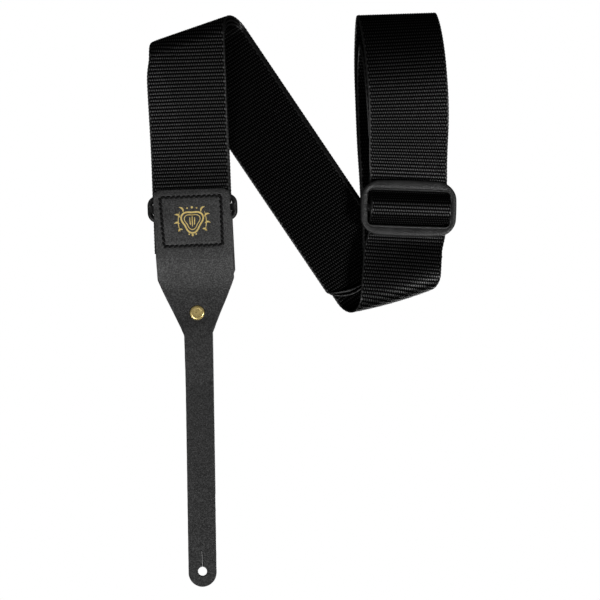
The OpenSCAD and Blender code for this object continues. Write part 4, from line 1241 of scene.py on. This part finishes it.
# ------------------------------------------------------------------ floor, light, camera
m, nt, p = new_mat("pale_floor")
nt.nodes.remove(p)
out = [x for x in nt.nodes if x.type == "OUTPUT_MATERIAL"][0]
em = node(nt, "ShaderNodeEmission", Color=(1, 1, 1, 1), Strength=1.0)
lp = nt.nodes.new("ShaderNodeLightPath")
mr = node(nt, "ShaderNodeMapRange")
mr.inputs["To Min"].default_value = 0.03
mr.inputs["To Max"].default_value = 1.0
nt.links.new(lp.outputs["Is Camera Ray"], mr.inputs["Value"])
nt.links.new(mr.outputs[0], em.inputs["Strength"])
tr = nt.nodes.new("ShaderNodeBsdfTransparent")
geo = nt.nodes.new("ShaderNodeNewGeometry")
mx = nt.nodes.new("ShaderNodeMixShader")
either = node(nt, "ShaderNodeMath", operation="MAXIMUM")
nt.links.new(geo.outputs["Backfacing"], either.inputs[0])
shadow = nt.nodes.new("ShaderNodeLightPath")
nt.links.new(shadow.outputs["Is Shadow Ray"], either.inputs[1])
nt.links.new(either.outputs[0], mx.inputs[0])
nt.links.new(em.outputs[0], mx.inputs[1])
nt.links.new(tr.outputs[0], mx.inputs[2])
nt.links.new(mx.outputs[0], out.inputs[0])
bpy.ops.mesh.primitive_plane_add(size=3.0, location=(0, 0, -0.0006))
floor = bpy.context.object
floor.name = "floor"
floor.data.materials.append(m)

world = bpy.data.worlds.new("studio")
bpy.context.scene.world = world
world.use_nodes = True
wt = world.node_tree
bg = wt.nodes["Background"]
bg.inputs[0].default_value = (1, 1, 1, 1)
lp = wt.nodes.new("ShaderNodeLightPath")
mr = node(wt, "ShaderNodeMapRange")
mr.inputs["To Min"].default_value = 0.03
mr.inputs["To Max"].default_value = 1.0
wt.links.new(lp.outputs["Is Camera Ray"], mr.inputs["Value"])
wt.links.new(mr.outputs[0], bg.inputs["Strength"])


def area(name, loc, target, size, power):
    d = bpy.data.lights.new(name, "AREA")
    d.shape = "RECTANGLE"
    d.size, d.size_y = size
    d.energy = power
    ob = bpy.data.objects.new(name, d)
    ob.location = loc
    ob.rotation_euler = (Vector(target) - Vector(loc)).to_track_quat("-Z", "Y").to_euler()
    bpy.context.scene.collection.objects.link(ob)
    return ob


area("key", (-0.60, -0.60, 0.98), (0, 0.0, 0), (0.45, 0.45), 12)
area("fill", (0.80, -0.38, 1.0), (0.06, 0.02, 0), (0.4, 0.3), 15)

area("under", (0.35, -0.45, -0.9), (0, 0, 0), (0.5, 0.5), 14)

cam_d = bpy.data.cameras.new("camera")
cam_d.sensor_width = 36
cam_d.lens = 36 * 0.95 / (0.600 / 1.555)
cam = bpy.data.objects.new("camera", cam_d)
cam.location = (SHIFT[0] * MM, SHIFT[1] * MM, 0.95)
bpy.context.scene.collection.objects.link(cam)
bpy.context.scene.camera = cam
bpy.context.scene.view_settings.view_transform = "Standard"
